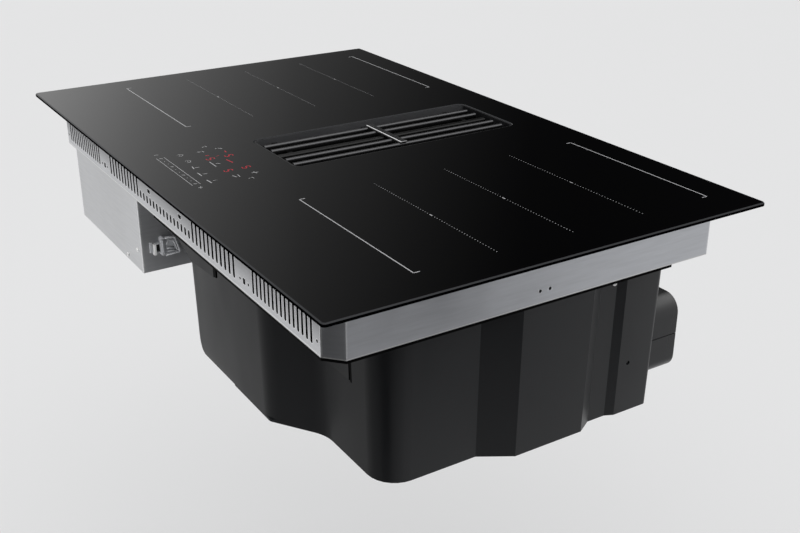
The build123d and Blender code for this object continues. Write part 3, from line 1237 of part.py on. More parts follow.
def outlet_half(level, above):
    """The outlet's duct and flange, kept on one side of its seam."""
    with BuildPart() as half:
        with BuildSketch(xz_plane(OUTLET_END_Y)):
            add(outlet_section(0))
        extrude(amount=OUTLET_REACH + OUTLET_INSERT)
        flange_y = TUB_REAR_Y + (OUTLET_TOP_Z - TUB_BOTTOM) * TUB_GROWTH + PORT_GAP
        with BuildSketch(xz_plane(flange_y + OUTLET_FLANGE_T)):
            with Locations((OUTLET_X, OUTLET_MID_Z)):
                Rectangle(OUTLET_L + 2 * OUTLET_FLANGE_W, OUTLET_H + 2 * OUTLET_FLANGE_W)
        extrude(amount=OUTLET_FLANGE_T)
        with BuildSketch(xz_plane(OUTLET_END_Y)):
            add(outlet_section(OUTLET_WALL))
        extrude(amount=OUTLET_REACH + OUTLET_INSERT, mode=Mode.SUBTRACT)
        keep = Keep.TOP if above else Keep.BOTTOM
        split(bisect_by=Plane.XY.offset(level), keep=keep)
    return half.part


finish(outlet_half(OUTLET_MID_Z, True), "outlet_upper")
finish(outlet_half(OUTLET_MID_Z, False), "outlet_lower")

# ======================================== blower inside the tub
with BuildPart() as air_divider:
    with BuildSketch(Plane.XY.offset(DIVIDER_Z)):
        add(tub_face((DIVIDER_Z - TUB_BOTTOM) * TUB_GROWTH - TUB_WALL - DIVIDER_GAP))
        with Locations((BLOWER_X, BLOWER_Y)):
            Circle(EYE_R, mode=Mode.SUBTRACT)
    extrude(amount=DIVIDER_T)
finish(air_divider.part, "air_divider")

with BuildPart() as inlet_ring:
    with BuildSketch(Plane.XY.offset(DIVIDER_Z + DIVIDER_T)):
        with Locations((BLOWER_X, BLOWER_Y)):
            Circle(EYE_LIP_R)
            Circle(EYE_R - EYE_LIP_T, mode=Mode.SUBTRACT)
    extrude(amount=EYE_LIP_T)
    with BuildSketch(Plane.XY.offset(DIVIDER_Z + DIVIDER_T)):
        with Locations((BLOWER_X, BLOWER_Y)):
            Circle(EYE_R)
            Circle(EYE_R - EYE_LIP_T, mode=Mode.SUBTRACT)
    extrude(amount=-(DIVIDER_T + EYE_DEPTH))
finish(inlet_ring.part, "inlet_ring")

with BuildSketch() as blade:
    with BuildLine():
        ThreePointArc((BLADE_ROOT_R, 0), (BLADE_MID_R, BLADE_MID_LEAD), (BLADE_TIP_R, BLADE_TIP_LEAD))
    trace(line_width=BLADE_T)

with BuildPart() as impeller:
    with Locations((BLOWER_X, BLOWER_Y, IMPELLER_Z)):
        Cylinder(IMPELLER_R, IMPELLER_DISC_T, align=(Align.CENTER, Align.CENTER, Align.MIN))
        Cylinder(HUB_R, HUB_H, align=(Align.CENTER, Align.CENTER, Align.MIN))
    with BuildSketch(Plane.XY.offset(IMPELLER_Z)):
        with Locations((BLOWER_X, BLOWER_Y)):
            with PolarLocations(0, IMPELLER_BLADES):
                add(blade.sketch)
    extrude(amount=IMPELLER_H)
    with BuildSketch(Plane.XY.offset(IMPELLER_TOP)):
        with Locations((BLOWER_X, BLOWER_Y)):
            Circle(IMPELLER_R)
            Circle(IMPELLER_R - IMPELLER_RIM_W, mode=Mode.SUBTRACT)
    extrude(amount=-IMPELLER_DISC_T)
    with BuildSketch(Plane.XY.offset(IMPELLER_Z)):
        with Locations((BLOWER_X, BLOWER_Y)):
            Circle(HUB_R - HUB_WALL)
    extrude(amount=HUB_H - HUB_WALL, mode=Mode.SUBTRACT)
    with BuildSketch(Plane.XY.offset(HUB_TOP - HUB_WALL)):
        with Locations((BLOWER_X, BLOWER_Y)):
            Circle(HUB_BOSS_R)
    extrude(amount=HUB_BOSS_H)
    with BuildSketch(Plane.XY.offset(HUB_TOP - HUB_WALL)):
        with Locations((BLOWER_X, BLOWER_Y)):
            Circle(SHAFT_R)
    extrude(amount=HUB_BOSS_H, mode=Mode.SUBTRACT)
finish(impeller.part, "impeller")

with BuildPart() as motor_plate:
    with BuildSketch(Plane.XY.offset(TUB_INSIDE_Z)):
        with Locations((BLOWER_X, BLOWER_Y)):
            Circle(MOTOR_PLATE_R)
    extrude(amount=MOTOR_PLATE_T)
finish(motor_plate.part, "motor_plate")

with BuildPart() as motor_body:
    with BuildSketch(Plane.XY.offset(MOTOR_Z)):
        with Locations((BLOWER_X, BLOWER_Y)):
            Circle(MOTOR_R)
    extrude(amount=MOTOR_H)
    with BuildSketch(Plane.XY.offset(MOTOR_TOP)):
        with Locations((BLOWER_X, BLOWER_Y)):
            Circle(SHAFT_R + SHAFT_GAP)
    extrude(amount=-SHAFT_INSERT, mode=Mode.SUBTRACT)
finish(motor_body.part, "motor_body")

with BuildPart() as motor_shaft:
    with BuildSketch(Plane.XY.offset(SHAFT_Z)):
        with Locations((BLOWER_X, BLOWER_Y)):
            Circle(SHAFT_R)
    extrude(amount=SHAFT_TOP - SHAFT_Z)
finish(motor_shaft.part, "motor_shaft")

with BuildPart() as scroll_wall:
    with BuildSketch(Plane.XY.offset(TUB_INSIDE_Z)):
        with BuildLine():
            Line((SCROLL_LEFT_X, SCROLL_END_Y), (SCROLL_LEFT_X, SCROLL_TONGUE_Y))
            ThreePointArc(
                (SCROLL_LEFT_X, SCROLL_TONGUE_Y),
                (BLOWER_X, BLOWER_Y - SCROLL_R),
                (SCROLL_RIGHT_X, BLOWER_Y),
            )
            Line((SCROLL_RIGHT_X, BLOWER_Y), (SCROLL_RIGHT_X, SCROLL_END_Y))
        trace(line_width=SCROLL_WALL)
    extrude(amount=DIVIDER_Z - TUB_INSIDE_Z)
finish(scroll_wall.part, "scroll_wall")
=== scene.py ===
import json
from math import atan2, cos, pi, radians, sin, sqrt, tan

import bmesh
import bpy
from mathutils import Matrix, Vector


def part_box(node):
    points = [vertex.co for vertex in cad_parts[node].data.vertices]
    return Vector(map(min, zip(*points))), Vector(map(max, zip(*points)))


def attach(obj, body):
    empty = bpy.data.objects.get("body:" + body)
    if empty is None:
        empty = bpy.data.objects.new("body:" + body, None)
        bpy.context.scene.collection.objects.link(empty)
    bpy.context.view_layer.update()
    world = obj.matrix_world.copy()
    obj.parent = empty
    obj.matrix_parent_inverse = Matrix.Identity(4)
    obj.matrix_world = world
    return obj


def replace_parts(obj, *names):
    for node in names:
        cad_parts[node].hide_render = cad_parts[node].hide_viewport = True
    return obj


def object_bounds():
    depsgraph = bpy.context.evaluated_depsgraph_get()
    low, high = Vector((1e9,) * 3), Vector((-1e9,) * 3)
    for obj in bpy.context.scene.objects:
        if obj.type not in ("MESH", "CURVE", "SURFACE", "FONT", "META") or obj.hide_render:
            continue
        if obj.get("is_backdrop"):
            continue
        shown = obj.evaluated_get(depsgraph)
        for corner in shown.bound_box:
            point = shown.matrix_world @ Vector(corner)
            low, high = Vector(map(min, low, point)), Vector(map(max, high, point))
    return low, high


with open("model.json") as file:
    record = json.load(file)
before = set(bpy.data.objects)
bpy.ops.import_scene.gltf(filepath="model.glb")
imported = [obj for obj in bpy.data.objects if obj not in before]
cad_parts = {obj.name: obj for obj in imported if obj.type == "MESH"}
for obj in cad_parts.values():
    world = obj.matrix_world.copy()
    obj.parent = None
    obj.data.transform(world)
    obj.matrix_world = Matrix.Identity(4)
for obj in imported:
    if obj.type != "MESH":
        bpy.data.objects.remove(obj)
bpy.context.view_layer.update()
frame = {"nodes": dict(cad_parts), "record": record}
nodes = frame["nodes"]
MM = 0.001


# ---------------------------------------------------------------- small node-building helpers
def math_node(tree, kind, a, b):
    node = tree.nodes.new("ShaderNodeMath")
    node.operation = kind
    for socket, value in zip(node.inputs, (a, b)):
        if isinstance(value, (int, float)):
            socket.default_value = value
        else:
            tree.links.new(value, socket)
    return node.outputs["Value"]


def ramp_node(tree, fac, stops):
    node = tree.nodes.new("ShaderNodeValToRGB")
    elements = node.color_ramp.elements
    while len(elements) < len(stops):
        elements.new(0.5)
    for element, (place, color) in zip(elements, stops):
        element.position = place
        element.color = (*color, 1.0)
    tree.links.new(fac, node.inputs["Fac"])
    return node.outputs["Color"]


class Shader:
    """A material with a Principled shader and short ways to add texture nodes in object space."""

    def __init__(self, name, color, roughness, metallic=0.0, **sockets):
        self.mat = bpy.data.materials.new(name)
        self.mat.use_nodes = True
        self.tree = self.mat.node_tree
        self.bsdf = self.tree.nodes["Principled BSDF"]
        self.color = (*color, 1.0)
        self.bsdf.inputs["Base Color"].default_value = self.color
        self.bsdf.inputs["Roughness"].default_value = roughness
        self.bsdf.inputs["Metallic"].default_value = metallic
        for socket, value in sockets.items():
            self.bsdf.inputs[socket.replace("_", " ")].default_value = value
        self.coords = self.tree.nodes.new("ShaderNodeTexCoord")
        self.last_normal = None

    def link(self, out, into):
        self.tree.links.new(out, into)

    def space(self, scale=(1, 1, 1)):
        """Object coordinates, stretched."""
        node = self.tree.nodes.new("ShaderNodeMapping")
        node.inputs["Scale"].default_value = scale
        self.link(self.coords.outputs["Object"], node.inputs["Vector"])
        return node.outputs["Vector"]

    def noise(self, scale, detail=3.0, rough=0.55, stretch=(1, 1, 1)):
        node = self.tree.nodes.new("ShaderNodeTexNoise")
        node.inputs["Scale"].default_value = scale
        node.inputs["Detail"].default_value = detail
        node.inputs["Roughness"].default_value = rough
        self.link(self.space(stretch), node.inputs["Vector"])
        return node.outputs["Fac"]

    def voronoi(self, scale, stretch=(1, 1, 1)):
        node = self.tree.nodes.new("ShaderNodeTexVoronoi")
        node.inputs["Scale"].default_value = scale
        self.link(self.space(stretch), node.inputs["Vector"])
        return node.outputs["Distance"]

    def bands(self, scale, direction, distortion=0.0):
        node = self.tree.nodes.new("ShaderNodeTexWave")
        node.bands_direction = direction
        node.inputs["Scale"].default_value = scale
        node.inputs["Distortion"].default_value = distortion
        self.link(self.space(), node.inputs["Vector"])
        return node.outputs["Fac"]

    def ramp(self, fac, stops):
        return ramp_node(self.tree, fac, stops)

    def span(self, fac, low, high, frm=(0.3, 0.7)):
        """fac from the range frm mapped onto low to high."""
        node = self.tree.nodes.new("ShaderNodeMapRange")
        node.inputs["From Min"].default_value = frm[0]
        node.inputs["From Max"].default_value = frm[1]
        node.inputs["To Min"].default_value = low
        node.inputs["To Max"].default_value = high
        self.link(fac, node.inputs["Value"])
        return node.outputs["Result"]

    def math(self, kind, a, b):
        return math_node(self.tree, kind, a, b)

    def mix(self, fac, a, b):
        """Colours a and b mixed by fac."""
        node = self.tree.nodes.new("ShaderNodeMix")
        node.data_type = "RGBA"
        for index, value in ((0, fac), (6, a), (7, b)):
            socket = node.inputs[index]
            if isinstance(value, (int, float)):
                socket.default_value = value
            elif isinstance(value, tuple):
                socket.default_value = (*value, 1.0)
            else:
                self.link(value, socket)
        return node.outputs[2]

    def along(self, kind, axis, low, high, signed=True):
        """0 to 1 as the X, Y or Z of the surface's place (Object) or direction (Normal) goes from low to high."""
        node = self.tree.nodes.new("ShaderNodeSeparateXYZ")
        self.link(self.coords.outputs[kind], node.inputs[0])
        value = node.outputs[axis] if signed else self.math("ABSOLUTE", node.outputs[axis], 0.0)
        return self.span(value, 0.0, 1.0, (low, high))

    def paint(self, mask, color):
        """Lays another base colour over the one so far, where mask is 1."""
        socket = self.bsdf.inputs["Base Color"]
        below = socket.links[0].from_socket if socket.links else self.color[:3]
        self.link(self.mix(mask, below, color), socket)

    def paint_edge_highlight(self, radius, color, strength, upright=False):
        """Paints a highlight along the edges, or along the upright ones alone: a lighter base colour where the
        bevelled normal turns from the face's own.
        """
        bevel = self.tree.nodes.new("ShaderNodeBevel")
        bevel.samples = 6
        bevel.inputs["Radius"].default_value = radius
        flat = self.tree.nodes.new("ShaderNodeNewGeometry")
        dot = self.tree.nodes.new("ShaderNodeVectorMath")
        dot.operation = "DOT_PRODUCT"
        self.link(bevel.outputs["Normal"], dot.inputs[0])
        self.link(flat.outputs["Normal"], dot.inputs[1])
        mask = self.span(dot.outputs["Value"], strength, 0.0, (0.915, 0.998))
        if upright:
            parts = self.tree.nodes.new("ShaderNodeSeparateXYZ")
            self.link(bevel.outputs["Normal"], parts.inputs[0])
            level = self.math("ABSOLUTE", parts.outputs["Z"], 0.0)
            mask = self.math("MULTIPLY", mask, self.span(level, 1.0, 0.0, (0.05, 0.2)))
        self.paint(mask, color)

    def tint(self, fac, amount):
        """The base colour, made darker and lighter by fac."""
        low = tuple(c * (1 - amount) for c in self.color[:3])
        high = tuple(min(1.0, c * (1 + amount)) for c in self.color[:3])
        self.link(self.mix(self.span(fac, 0.0, 1.0), low, high), self.bsdf.inputs["Base Color"])

    def rough(self, fac, low, high):
        self.link(self.span(fac, low, high), self.bsdf.inputs["Roughness"])

    def specular(self, level):
        self.link(level, self.bsdf.inputs["Specular IOR Level"])

    def bump(self, height, distance):
        """Raises the surface by distance (metres) where height is 1."""
        node = self.tree.nodes.new("ShaderNodeBump")
        node.inputs["Strength"].default_value = 1.0
        node.inputs["Distance"].default_value = distance
        self.link(height, node.inputs["Height"])
        if self.last_normal:
            self.link(self.last_normal, node.inputs["Normal"])
        self.last_normal = node.outputs["Normal"]
        self.link(self.last_normal, self.bsdf.inputs["Normal"])


def moulded(name, color, roughness, grain=0.00004, tint=0.12, **sockets):
    """Moulded plastic with a fine spark-eroded grain and faint flow marks."""
    s = Shader(name, color, roughness, **sockets)
    flow = s.noise(14.0, 2.0, stretch=(1, 1, 0.35))
    fine = s.noise(1900.0, 2.0)
    s.tint(s.math("ADD", s.math("MULTIPLY", flow, 0.7), s.math("MULTIPLY", fine, 0.3)), tint)
    s.rough(flow, roughness - 0.05, roughness + 0.06)
    s.bump(fine, grain)
    return s


def sheet_metal(name, color, roughness, metallic=1.0, stretch=(1, 1, 1)):
    """Rolled sheet: fine streaks along the roll and faint broad clouds."""
    s = Shader(name, color, roughness, metallic)
    streak = s.noise(420.0, 4.0, stretch=stretch)
    cloud = s.noise(9.0, 3.0)
    s.tint(s.math("ADD", s.math("MULTIPLY", streak, 0.45), s.math("MULTIPLY", cloud, 0.55)), 0.10)
    s.rough(cloud, roughness - 0.06, roughness + 0.07)
    s.bump(streak, 0.000012)
    return s


# ---------------------------------------------------------------- materials
glass = Shader("black_glass", (0.0010, 0.0010, 0.0012), 0.035)
glass.rough(glass.noise(22.0, 4.0, 0.6), 0.025, 0.06)
speck = glass.span(glass.noise(2600.0, 1.0), 0.94, 1.06)
upward = glass.along("Normal", "Z", 0.3, 0.6)
bevel = glass.math("SUBTRACT", upward, glass.along("Normal", "Z", 0.8, 0.95))
glass.paint(bevel, (0.024, 0.025, 0.028))
shine = glass.math("SUBTRACT", glass.span(upward, 0.0, 0.5, (0, 1)), glass.math("MULTIPLY", bevel, 0.3))
glass.specular(glass.math("MULTIPLY", speck, shine))
glass.bump(glass.noise(6.0, 1.0), 0.00001)

seal = moulded("seal_foam", (0.02, 0.02, 0.02), 0.85, grain=0.0002)
liner = moulded("intake_plastic", (0.085, 0.086, 0.090), 0.30)
# painted shade: all faces but those facing +X darkened, so only the far wall of the intake reads light
liner.paint(liner.along("Normal", "X", 0.7, 0.2), (0.010, 0.010, 0.011))
housing = moulded("housing_plastic", (0.0125, 0.0133, 0.0150), 0.34, grain=0.00003)
front_face = housing.along("Normal", "Y", -0.25, -0.95)
housing.specular(housing.span(front_face, 0.30, 0.09, (0, 1)))
# painted shade: the front-facing faces darkened
housing.paint(housing.math("MULTIPLY", front_face, 0.6), (0.0045, 0.0048, 0.0056))
# painted highlight along the housing's edges
housing.paint_edge_highlight(0.0012, (0.050, 0.051, 0.054), 0.6)
lid_plastic = moulded("lid_plastic", (0.0085, 0.0090, 0.0100), 0.40, grain=0.00003, Specular_IOR_Level=0.12)
# painted shadow: the lid's top edge, above z -59.5 mm, near black for the shadow line under the casing
lid_plastic.paint(lid_plastic.along("Object", "Z", -0.0595, -0.0589), (0.0008, 0.0008, 0.0008))
outlet_plastic = moulded("outlet_plastic", (0.0088, 0.0094, 0.0110), 0.27, grain=0.00003)
outlet_plastic.specular(outlet_plastic.span(outlet_plastic.along("Normal", "Z", -0.1, 0.7), 0.30, 0.95, (0, 1)))
# painted shade: near black for dark strips that stand for shadow lines
shadow_black = moulded("shadow_black", (0.0012, 0.0012, 0.0012), 0.7, grain=0.00003, Specular_IOR_Level=0.05)
impeller = moulded("impeller_plastic", (0.05, 0.05, 0.055), 0.5)
fan_plastic = moulded("fan_plastic", (0.02, 0.02, 0.02), 0.5)
filter_frame = moulded("filter_frame", (0.006, 0.006, 0.006), 0.5)
pale_plastic = moulded("coil_plastic", (0.62, 0.62, 0.59), 0.55, tint=0.05)
terminal = moulded("terminal_plastic", (0.42, 0.42, 0.40), 0.5, tint=0.06)
grommet = moulded("grommet_rubber", (0.012, 0.012, 0.012), 0.7, grain=0.0001)
clamp = moulded("clamp_plastic", (0.50, 0.51, 0.53), 0.22, tint=0.08)
clamp_white = moulded("clamp_white", (0.93, 0.93, 0.93), 0.2, tint=0.03)

grille_coat = Shader("grille_metal", (0.105, 0.105, 0.108), 0.30, 0.9)
pores = grille_coat.noise(900.0, 3.0, 0.65)
grille_coat.tint(pores, 0.2)
# Darker over the middle bar and below the slat tops; below the tops this is painted shade between the slats.
outer = grille_coat.along("Object", "X", 0.006, 0.0065, signed=False)
raised = grille_coat.along("Object", "Z", -0.001, 0.002)
dark_middle_and_shade = grille_coat.math("SUBTRACT", 1.0, grille_coat.math("MULTIPLY", outer, raised))
grille_coat.paint(dark_middle_and_shade, (0.022, 0.022, 0.022))
grille_coat.rough(grille_coat.noise(60.0, 2.0), 0.24, 0.34)
grille_coat.bump(pores, 0.00002)

brushed = sheet_metal("handle_steel", (0.20, 0.20, 0.205), 0.24, stretch=(0.03, 1, 1))
# painted highlight: pale steel for the crossbar's front face
bar_front_highlight = sheet_metal("bar_front_highlight", (0.80, 0.80, 0.80), 0.35, 0.4, stretch=(0.03, 1, 1))
ROLLED = (0.06, 0.06, 1)
# the colour of the painted highlights along edges
EDGE_HIGHLIGHT = (0.97, 0.97, 0.98)
casing = sheet_metal("casing_steel", (0.49, 0.50, 0.525), 0.36, 0.96, stretch=ROLLED)
# painted highlight along the casing's upright folds
casing.paint_edge_highlight(0.0028, EDGE_HIGHLIGHT, 1.0, upright=True)
vented = sheet_metal("vented_steel", (0.61, 0.615, 0.63), 0.40, 0.85, stretch=ROLLED)
# painted shade: darker towards the top of the panel, under the glass
vented.paint(vented.math("MULTIPLY", vented.along("Object", "Z", -0.047, -0.026), 0.66), (0.17, 0.172, 0.178))
# painted highlight along the edges of the slots and the panel
vented.paint_edge_highlight(0.0016, EDGE_HIGHLIGHT, 1.0)
# painted shade: the slot walls, faces not facing front or back, near black
vented.paint(vented.along("Normal", "Y", 0.6, 0.3, signed=False), (0.003, 0.003, 0.003))
floor_sheet = sheet_metal("floor_steel", (0.50, 0.505, 0.515), 0.40, 0.85, stretch=ROLLED)
# painted highlight: the sheet's upright edges lighter, for the light line along the casing's lower edge
floor_sheet.paint(floor_sheet.along("Normal", "Z", 0.3, 0.1), (0.62, 0.62, 0.62))
box_steel = sheet_metal("box_steel", (0.60, 0.605, 0.615), 0.42, 0.75, stretch=ROLLED)
# painted highlight along the box's upright edges
box_steel.paint_edge_highlight(0.0016, EDGE_HIGHLIGHT, 1.0, upright=True)
# painted shade: a darker copy of the box steel for the box's side cover, which lies in the shade under the casing;
# painted highlight along its upright edges
shaded_box_steel = sheet_metal("shaded_box_steel", (0.47, 0.475, 0.49), 0.42, 0.85, stretch=ROLLED)
shaded_box_steel.paint_edge_highlight(0.0026, EDGE_HIGHLIGHT, 1.0, upright=True)
# painted highlight: near-white steel for the bright strip along the box's front fold
fold_highlight_steel = sheet_metal("fold_highlight_steel", (0.93, 0.93, 0.94), 0.35, 0.3, stretch=ROLLED)
screw_steel = sheet_metal("screw_steel", (0.92, 0.92, 0.91), 0.3, 0.6)
shaft_steel = sheet_metal("shaft_steel", (0.66, 0.66, 0.66), 0.2, stretch=(1, 1, 0.05))
motor_metal = sheet_metal("motor_metal", (0.40, 0.40, 0.41), 0.45, 0.8)
coil_plate = sheet_metal("coil_aluminium", (0.66, 0.66, 0.67), 0.34, stretch=(0.05, 1, 1))
heatsink = sheet_metal("heatsink_aluminium", (0.55, 0.55, 0.56), 0.38, stretch=(1, 0.05, 1))

filter_mesh = Shader("filter_mesh", (0.10, 0.10, 0.10), 0.40, 1.0)
cells = filter_mesh.voronoi(420.0, (1, 0.55, 1))
filter_mesh.link(
    filter_mesh.ramp(cells, [(0.0, (0.006, 0.006, 0.006)), (0.35, (0.02, 0.02, 0.02)), (0.6, (0.14, 0.14, 0.145))]),
    filter_mesh.bsdf.inputs["Base Color"],
)
filter_mesh.bump(cells, 0.0008)

mica = Shader("mica", (0.50, 0.45, 0.36), 0.4)
mica.tint(mica.voronoi(90.0), 0.3)
mica.bump(mica.noise(200.0, 3.0), 0.00004)

copper = Shader("coil_copper", (0.50, 0.17, 0.06), 0.36, 1.0)
strands = copper.bands(330.0, "DIAGONAL", distortion=0.4)
copper.tint(strands, 0.35)
copper.bump(strands, 0.0005)

ferrite = Shader("ferrite", (0.025, 0.025, 0.028), 0.55)
ferrite.tint(ferrite.noise(700.0, 3.0), 0.4)
ferrite.bump(ferrite.noise(500.0, 2.0), 0.00008)

ceramic = Shader("sensor_white", (0.70, 0.70, 0.67), 0.45)
ceramic.tint(ceramic.noise(300.0, 2.0), 0.08)
ceramic.bump(ceramic.noise(800.0, 2.0), 0.00004)

board = Shader("board_green", (0.012, 0.085, 0.035), 0.35)
tracks = board.voronoi(260.0, (1, 0.3, 1))
board.link(
    board.ramp(tracks, [(0.0, (0.02, 0.13, 0.05)), (0.5, (0.012, 0.08, 0.03)), (0.8, (0.007, 0.05, 0.02))]),
    board.bsdf.inputs["Base Color"],
)
board.bump(tracks, 0.00008)

digit_glow = Shader("digit_red", (0.30, 0.012, 0.01), 0.3)
digit_glow.tint(digit_glow.noise(200.0, 2.0), 0.15)

sleeves = Shader("component_dark", (0.02, 0.02, 0.035), 0.3)
windings = sleeves.bands(260.0, "Z")
sleeves.tint(windings, 0.4)
sleeves.bump(windings, 0.0002)

BY_SLOT = {
    "black_glass": glass,
    "seal_foam": seal,
    "intake_plastic": liner,
    "grille_metal": grille_coat,
    "handle_steel": brushed,
    "filter_frame": filter_frame,
    "filter_mesh": filter_mesh,
    "casing_steel": casing,
    "box_steel": box_steel,
    "screw_steel": screw_steel,
    "mica": mica,
    "coil_copper": copper,
    "coil_plastic": pale_plastic,
    "ferrite": ferrite,
    "coil_aluminium": coil_plate,
    "sensor_white": ceramic,
    "board_green": board,
    "digit_red": digit_glow,
    "heatsink_aluminium": heatsink,
    "component_dark": sleeves,
    "terminal_plastic": terminal,
    "fan_plastic": fan_plastic,
    "grommet_rubber": grommet,
    "clamp_plastic": clamp,
    "housing_plastic": housing,
    "impeller_plastic": impeller,
    "motor_metal": motor_metal,
    "shaft_steel": shaft_steel,
}
for part in frame["record"]["subparts"]:
    slots = nodes[part["node"]].data.materials
    slots.clear()
    slots.append(BY_SLOT[part["material_slot"]].mat)
for node, finish in (
    ("casing_front", vented),
    ("casing_rear", vented),
    ("casing_floor", floor_sheet),
    ("housing_lid", lid_plastic),
    ("box_side_cover", shaded_box_steel),
):
    nodes[node].data.materials[0] = finish.mat


# ---------------------------------------------------------------- meshes, all given in millimetres
def as_object(name, bm):
    """The mesh in hand as an object of the scene."""
    mesh = bpy.data.meshes.new(name)
    bm.to_mesh(mesh)
    bm.free()
    obj = bpy.data.objects.new(name, mesh)
    bpy.context.scene.collection.objects.link(obj)
    return obj


def new_piece(name, bm, *finishes, body="chassis", slot=None):
    """A visible piece of the mesh in hand, which rides on body. A face's finish is its material index."""
    bmesh.ops.recalc_face_normals(bm, faces=bm.faces)
    obj = as_object(name, bm)
    for finish in finishes:
        obj.data.materials.append(finish.mat)
    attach(obj, body)
    return obj


def loft(bm, rows, finish=0):
    """A closed body through rows of points, each row with as many, and its faces, the two ends first."""
    rings = [[bm.verts.new(Vector(p) * MM) for p in row] for row in rows]
    faces = [bm.faces.new(list(reversed(rings[0]))), bm.faces.new(rings[-1])]
    for lower, upper in zip(rings, rings[1:]):
        for i in range(len(lower)):
            j = (i + 1) % len(lower)
            faces.append(bm.faces.new((lower[i], lower[j], upper[j], upper[i])))
    for face in faces:
        face.material_index = finish
        face.normal_update()
    return faces


def slab(bm, low, high, edge):
    """A block between two corners, its edges chamfered by edge along X and Y, and its faces."""
    (x0, y0, z0), (x1, y1, z1) = low, high
    rows = []
    for z, pull in ((z0, edge), (z0 + edge, 0.0), (z1 - edge, 0.0), (z1, edge)):
        corners = (x0 + pull, y0 + pull), (x1 - pull, y0 + pull), (x1 - pull, y1 - pull), (x0 + pull, y1 - pull)
        rows.append([(x, y, z) for x, y in corners])
    return loft(bm, rows)


def circle(r, sides, x=0.0, y=0.0):
    return [(x + r * cos(2 * pi * k / sides), y + r * sin(2 * pi * k / sides)) for k in range(sides)]


def rod(bm, path, r, sides=8, across=(1, 0, 0)):
    """A round rod along the points of path, which never runs along across."""
    spots = [Vector(p) for p in path]
    rows = []
    for i, spot in enumerate(spots):
        along = (spots[min(i + 1, len(spots) - 1)] - spots[max(i - 1, 0)]).normalized()
        side = along.cross(Vector(across)).normalized()
        up = side.cross(along)
        rows.append([spot + side * u + up * v for u, v in circle(r, sides)])
    for face in loft(bm, rows)[2:]:
        face.smooth = True


def bend(points, r, steps=4):
    """The points of a path with each inner corner rounded by about r."""
    path = [Vector(p) for p in points]
    out = [path[0]]
    for before, corner, after in zip(path, path[1:], path[2:]):
        a = corner + (before - corner).normalized() * r
        c = corner + (after - corner).normalized() * r
        for k in range(steps + 1):
            t = k / steps
            out.append(a * (1 - t) ** 2 + corner * 2 * t * (1 - t) + c * t ** 2)
    return out + [path[-1]]


def outline(corners, steps=7):
    """The points of a closed outline, anticlockwise, each corner (x, y, r) rounded by r."""
    points = []
    for i, (x, y, r) in enumerate(corners):
        here = Vector((x, y))
        if not r:
            points.append(here)
            continue
        back = (Vector(corners[i - 1][:2]) - here).normalized()
        ahead = (Vector(corners[(i + 1) % len(corners)][:2]) - here).normalized()
        half = back.angle(ahead) / 2
        centre = here + (back + ahead).normalized() * r / sin(half)
        first = here + back * r / tan(half) - centre
        last = here + ahead * r / tan(half) - centre
        start = atan2(first.y, first.x)
        turned = (atan2(last.y, last.x) - start + pi) % (2 * pi) - pi
        for k in range(steps + 1):
            angle = start + turned * k / steps
            points.append(centre + Vector((cos(angle), sin(angle))) * r)
    return points


def box_corners(x0, y0, x1, y1, r):
    return [(x0, y0, r), (x1, y0, r), (x1, y1, r), (x0, y1, r)]


def grown(points, amount):
    """An outline moved outwards by amount."""
    out = []
    for i, here in enumerate(points):
        before = (here - points[i - 1]).normalized()
        after = (points[(i + 1) % len(points)] - here).normalized()
        normals = Vector((before.y, -before.x)), Vector((after.y, -after.x))
        middle = (normals[0] + normals[1]).normalized()
        out.append(here + middle * amount / middle.dot(normals[0]))
    return out


def as_tool(made, turn=None):
    """The mesh in hand, turned, as an object for carved to work with."""
    if turn:
        bmesh.ops.transform(made, matrix=turn, verts=made.verts)
    bmesh.ops.recalc_face_normals(made, faces=made.faces)
    return as_object("tool", made)


def solid(rows, turn=None):
    """A closed body through rows of points, for carved."""
    made = bmesh.new()
    loft(made, rows)
    return as_tool(made, turn)


def prism(points, z0, z1):
    return solid([[(x, y, z) for x, y in points] for z in (z0, z1)])


def round_bar(centre, r, length, axis, sides=24):
    """A round bar centred on a point and lying along the axis X, Y or Z, for carved."""
    tilt = {"X": Matrix.Rotation(pi / 2, 4, "Y"), "Y": Matrix.Rotation(pi / 2, 4, "X"), "Z": Matrix.Identity(4)}
    place = Matrix.Translation(Vector(centre) * MM) @ tilt[axis]
    return solid([[(x, y, z) for x, y in circle(r, sides)] for z in (-length / 2, length / 2)], place)


WELD = 0.00001


def carved(base, tools):
    """The mesh left when each (operation, tool) is applied to base; the tools are used up."""
    for kind, tool in tools:
        step = base.modifiers.new("cut", "BOOLEAN")
        step.operation = kind
        step.solver = "EXACT"
        step.object = tool
    graph = bpy.context.evaluated_depsgraph_get()
    made = bmesh.new()
    made.from_mesh(base.evaluated_get(graph).data)
    for tool in [tool for _, tool in tools] + [base]:
        bpy.data.objects.remove(tool, do_unlink=True)
    bmesh.ops.remove_doubles(made, verts=made.verts, dist=WELD)
    bmesh.ops.dissolve_degenerate(made, dist=WELD, edges=made.edges)
    return made


def soften(made, angle=16.0):
    """Smooth shading, kept sharp across edges steeper than angle."""
    for face in made.faces:
        face.smooth = True
    for edge in made.edges:
        edge.smooth = len(edge.link_faces) == 2 and edge.calc_face_angle() < radians(angle)


def box_mm(node):
    """A node's lowest and highest corners at rest."""
    return [Vector(corner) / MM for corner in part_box(node)]


# ---------------------------------------------------------------- printed marks on the glass
MARK_LIFT, MARK_T = 0.04, 0.03
MARK_LEVELS = [box_mm("glass_top")[1].z + rise for rise in (MARK_LIFT, MARK_LIFT + MARK_T)]


def flat_shape(bm, points):
    """A closed plate of MARK_T just above the glass."""
    loft(bm, [[(x, y, z) for x, y in points] for z in MARK_LEVELS])


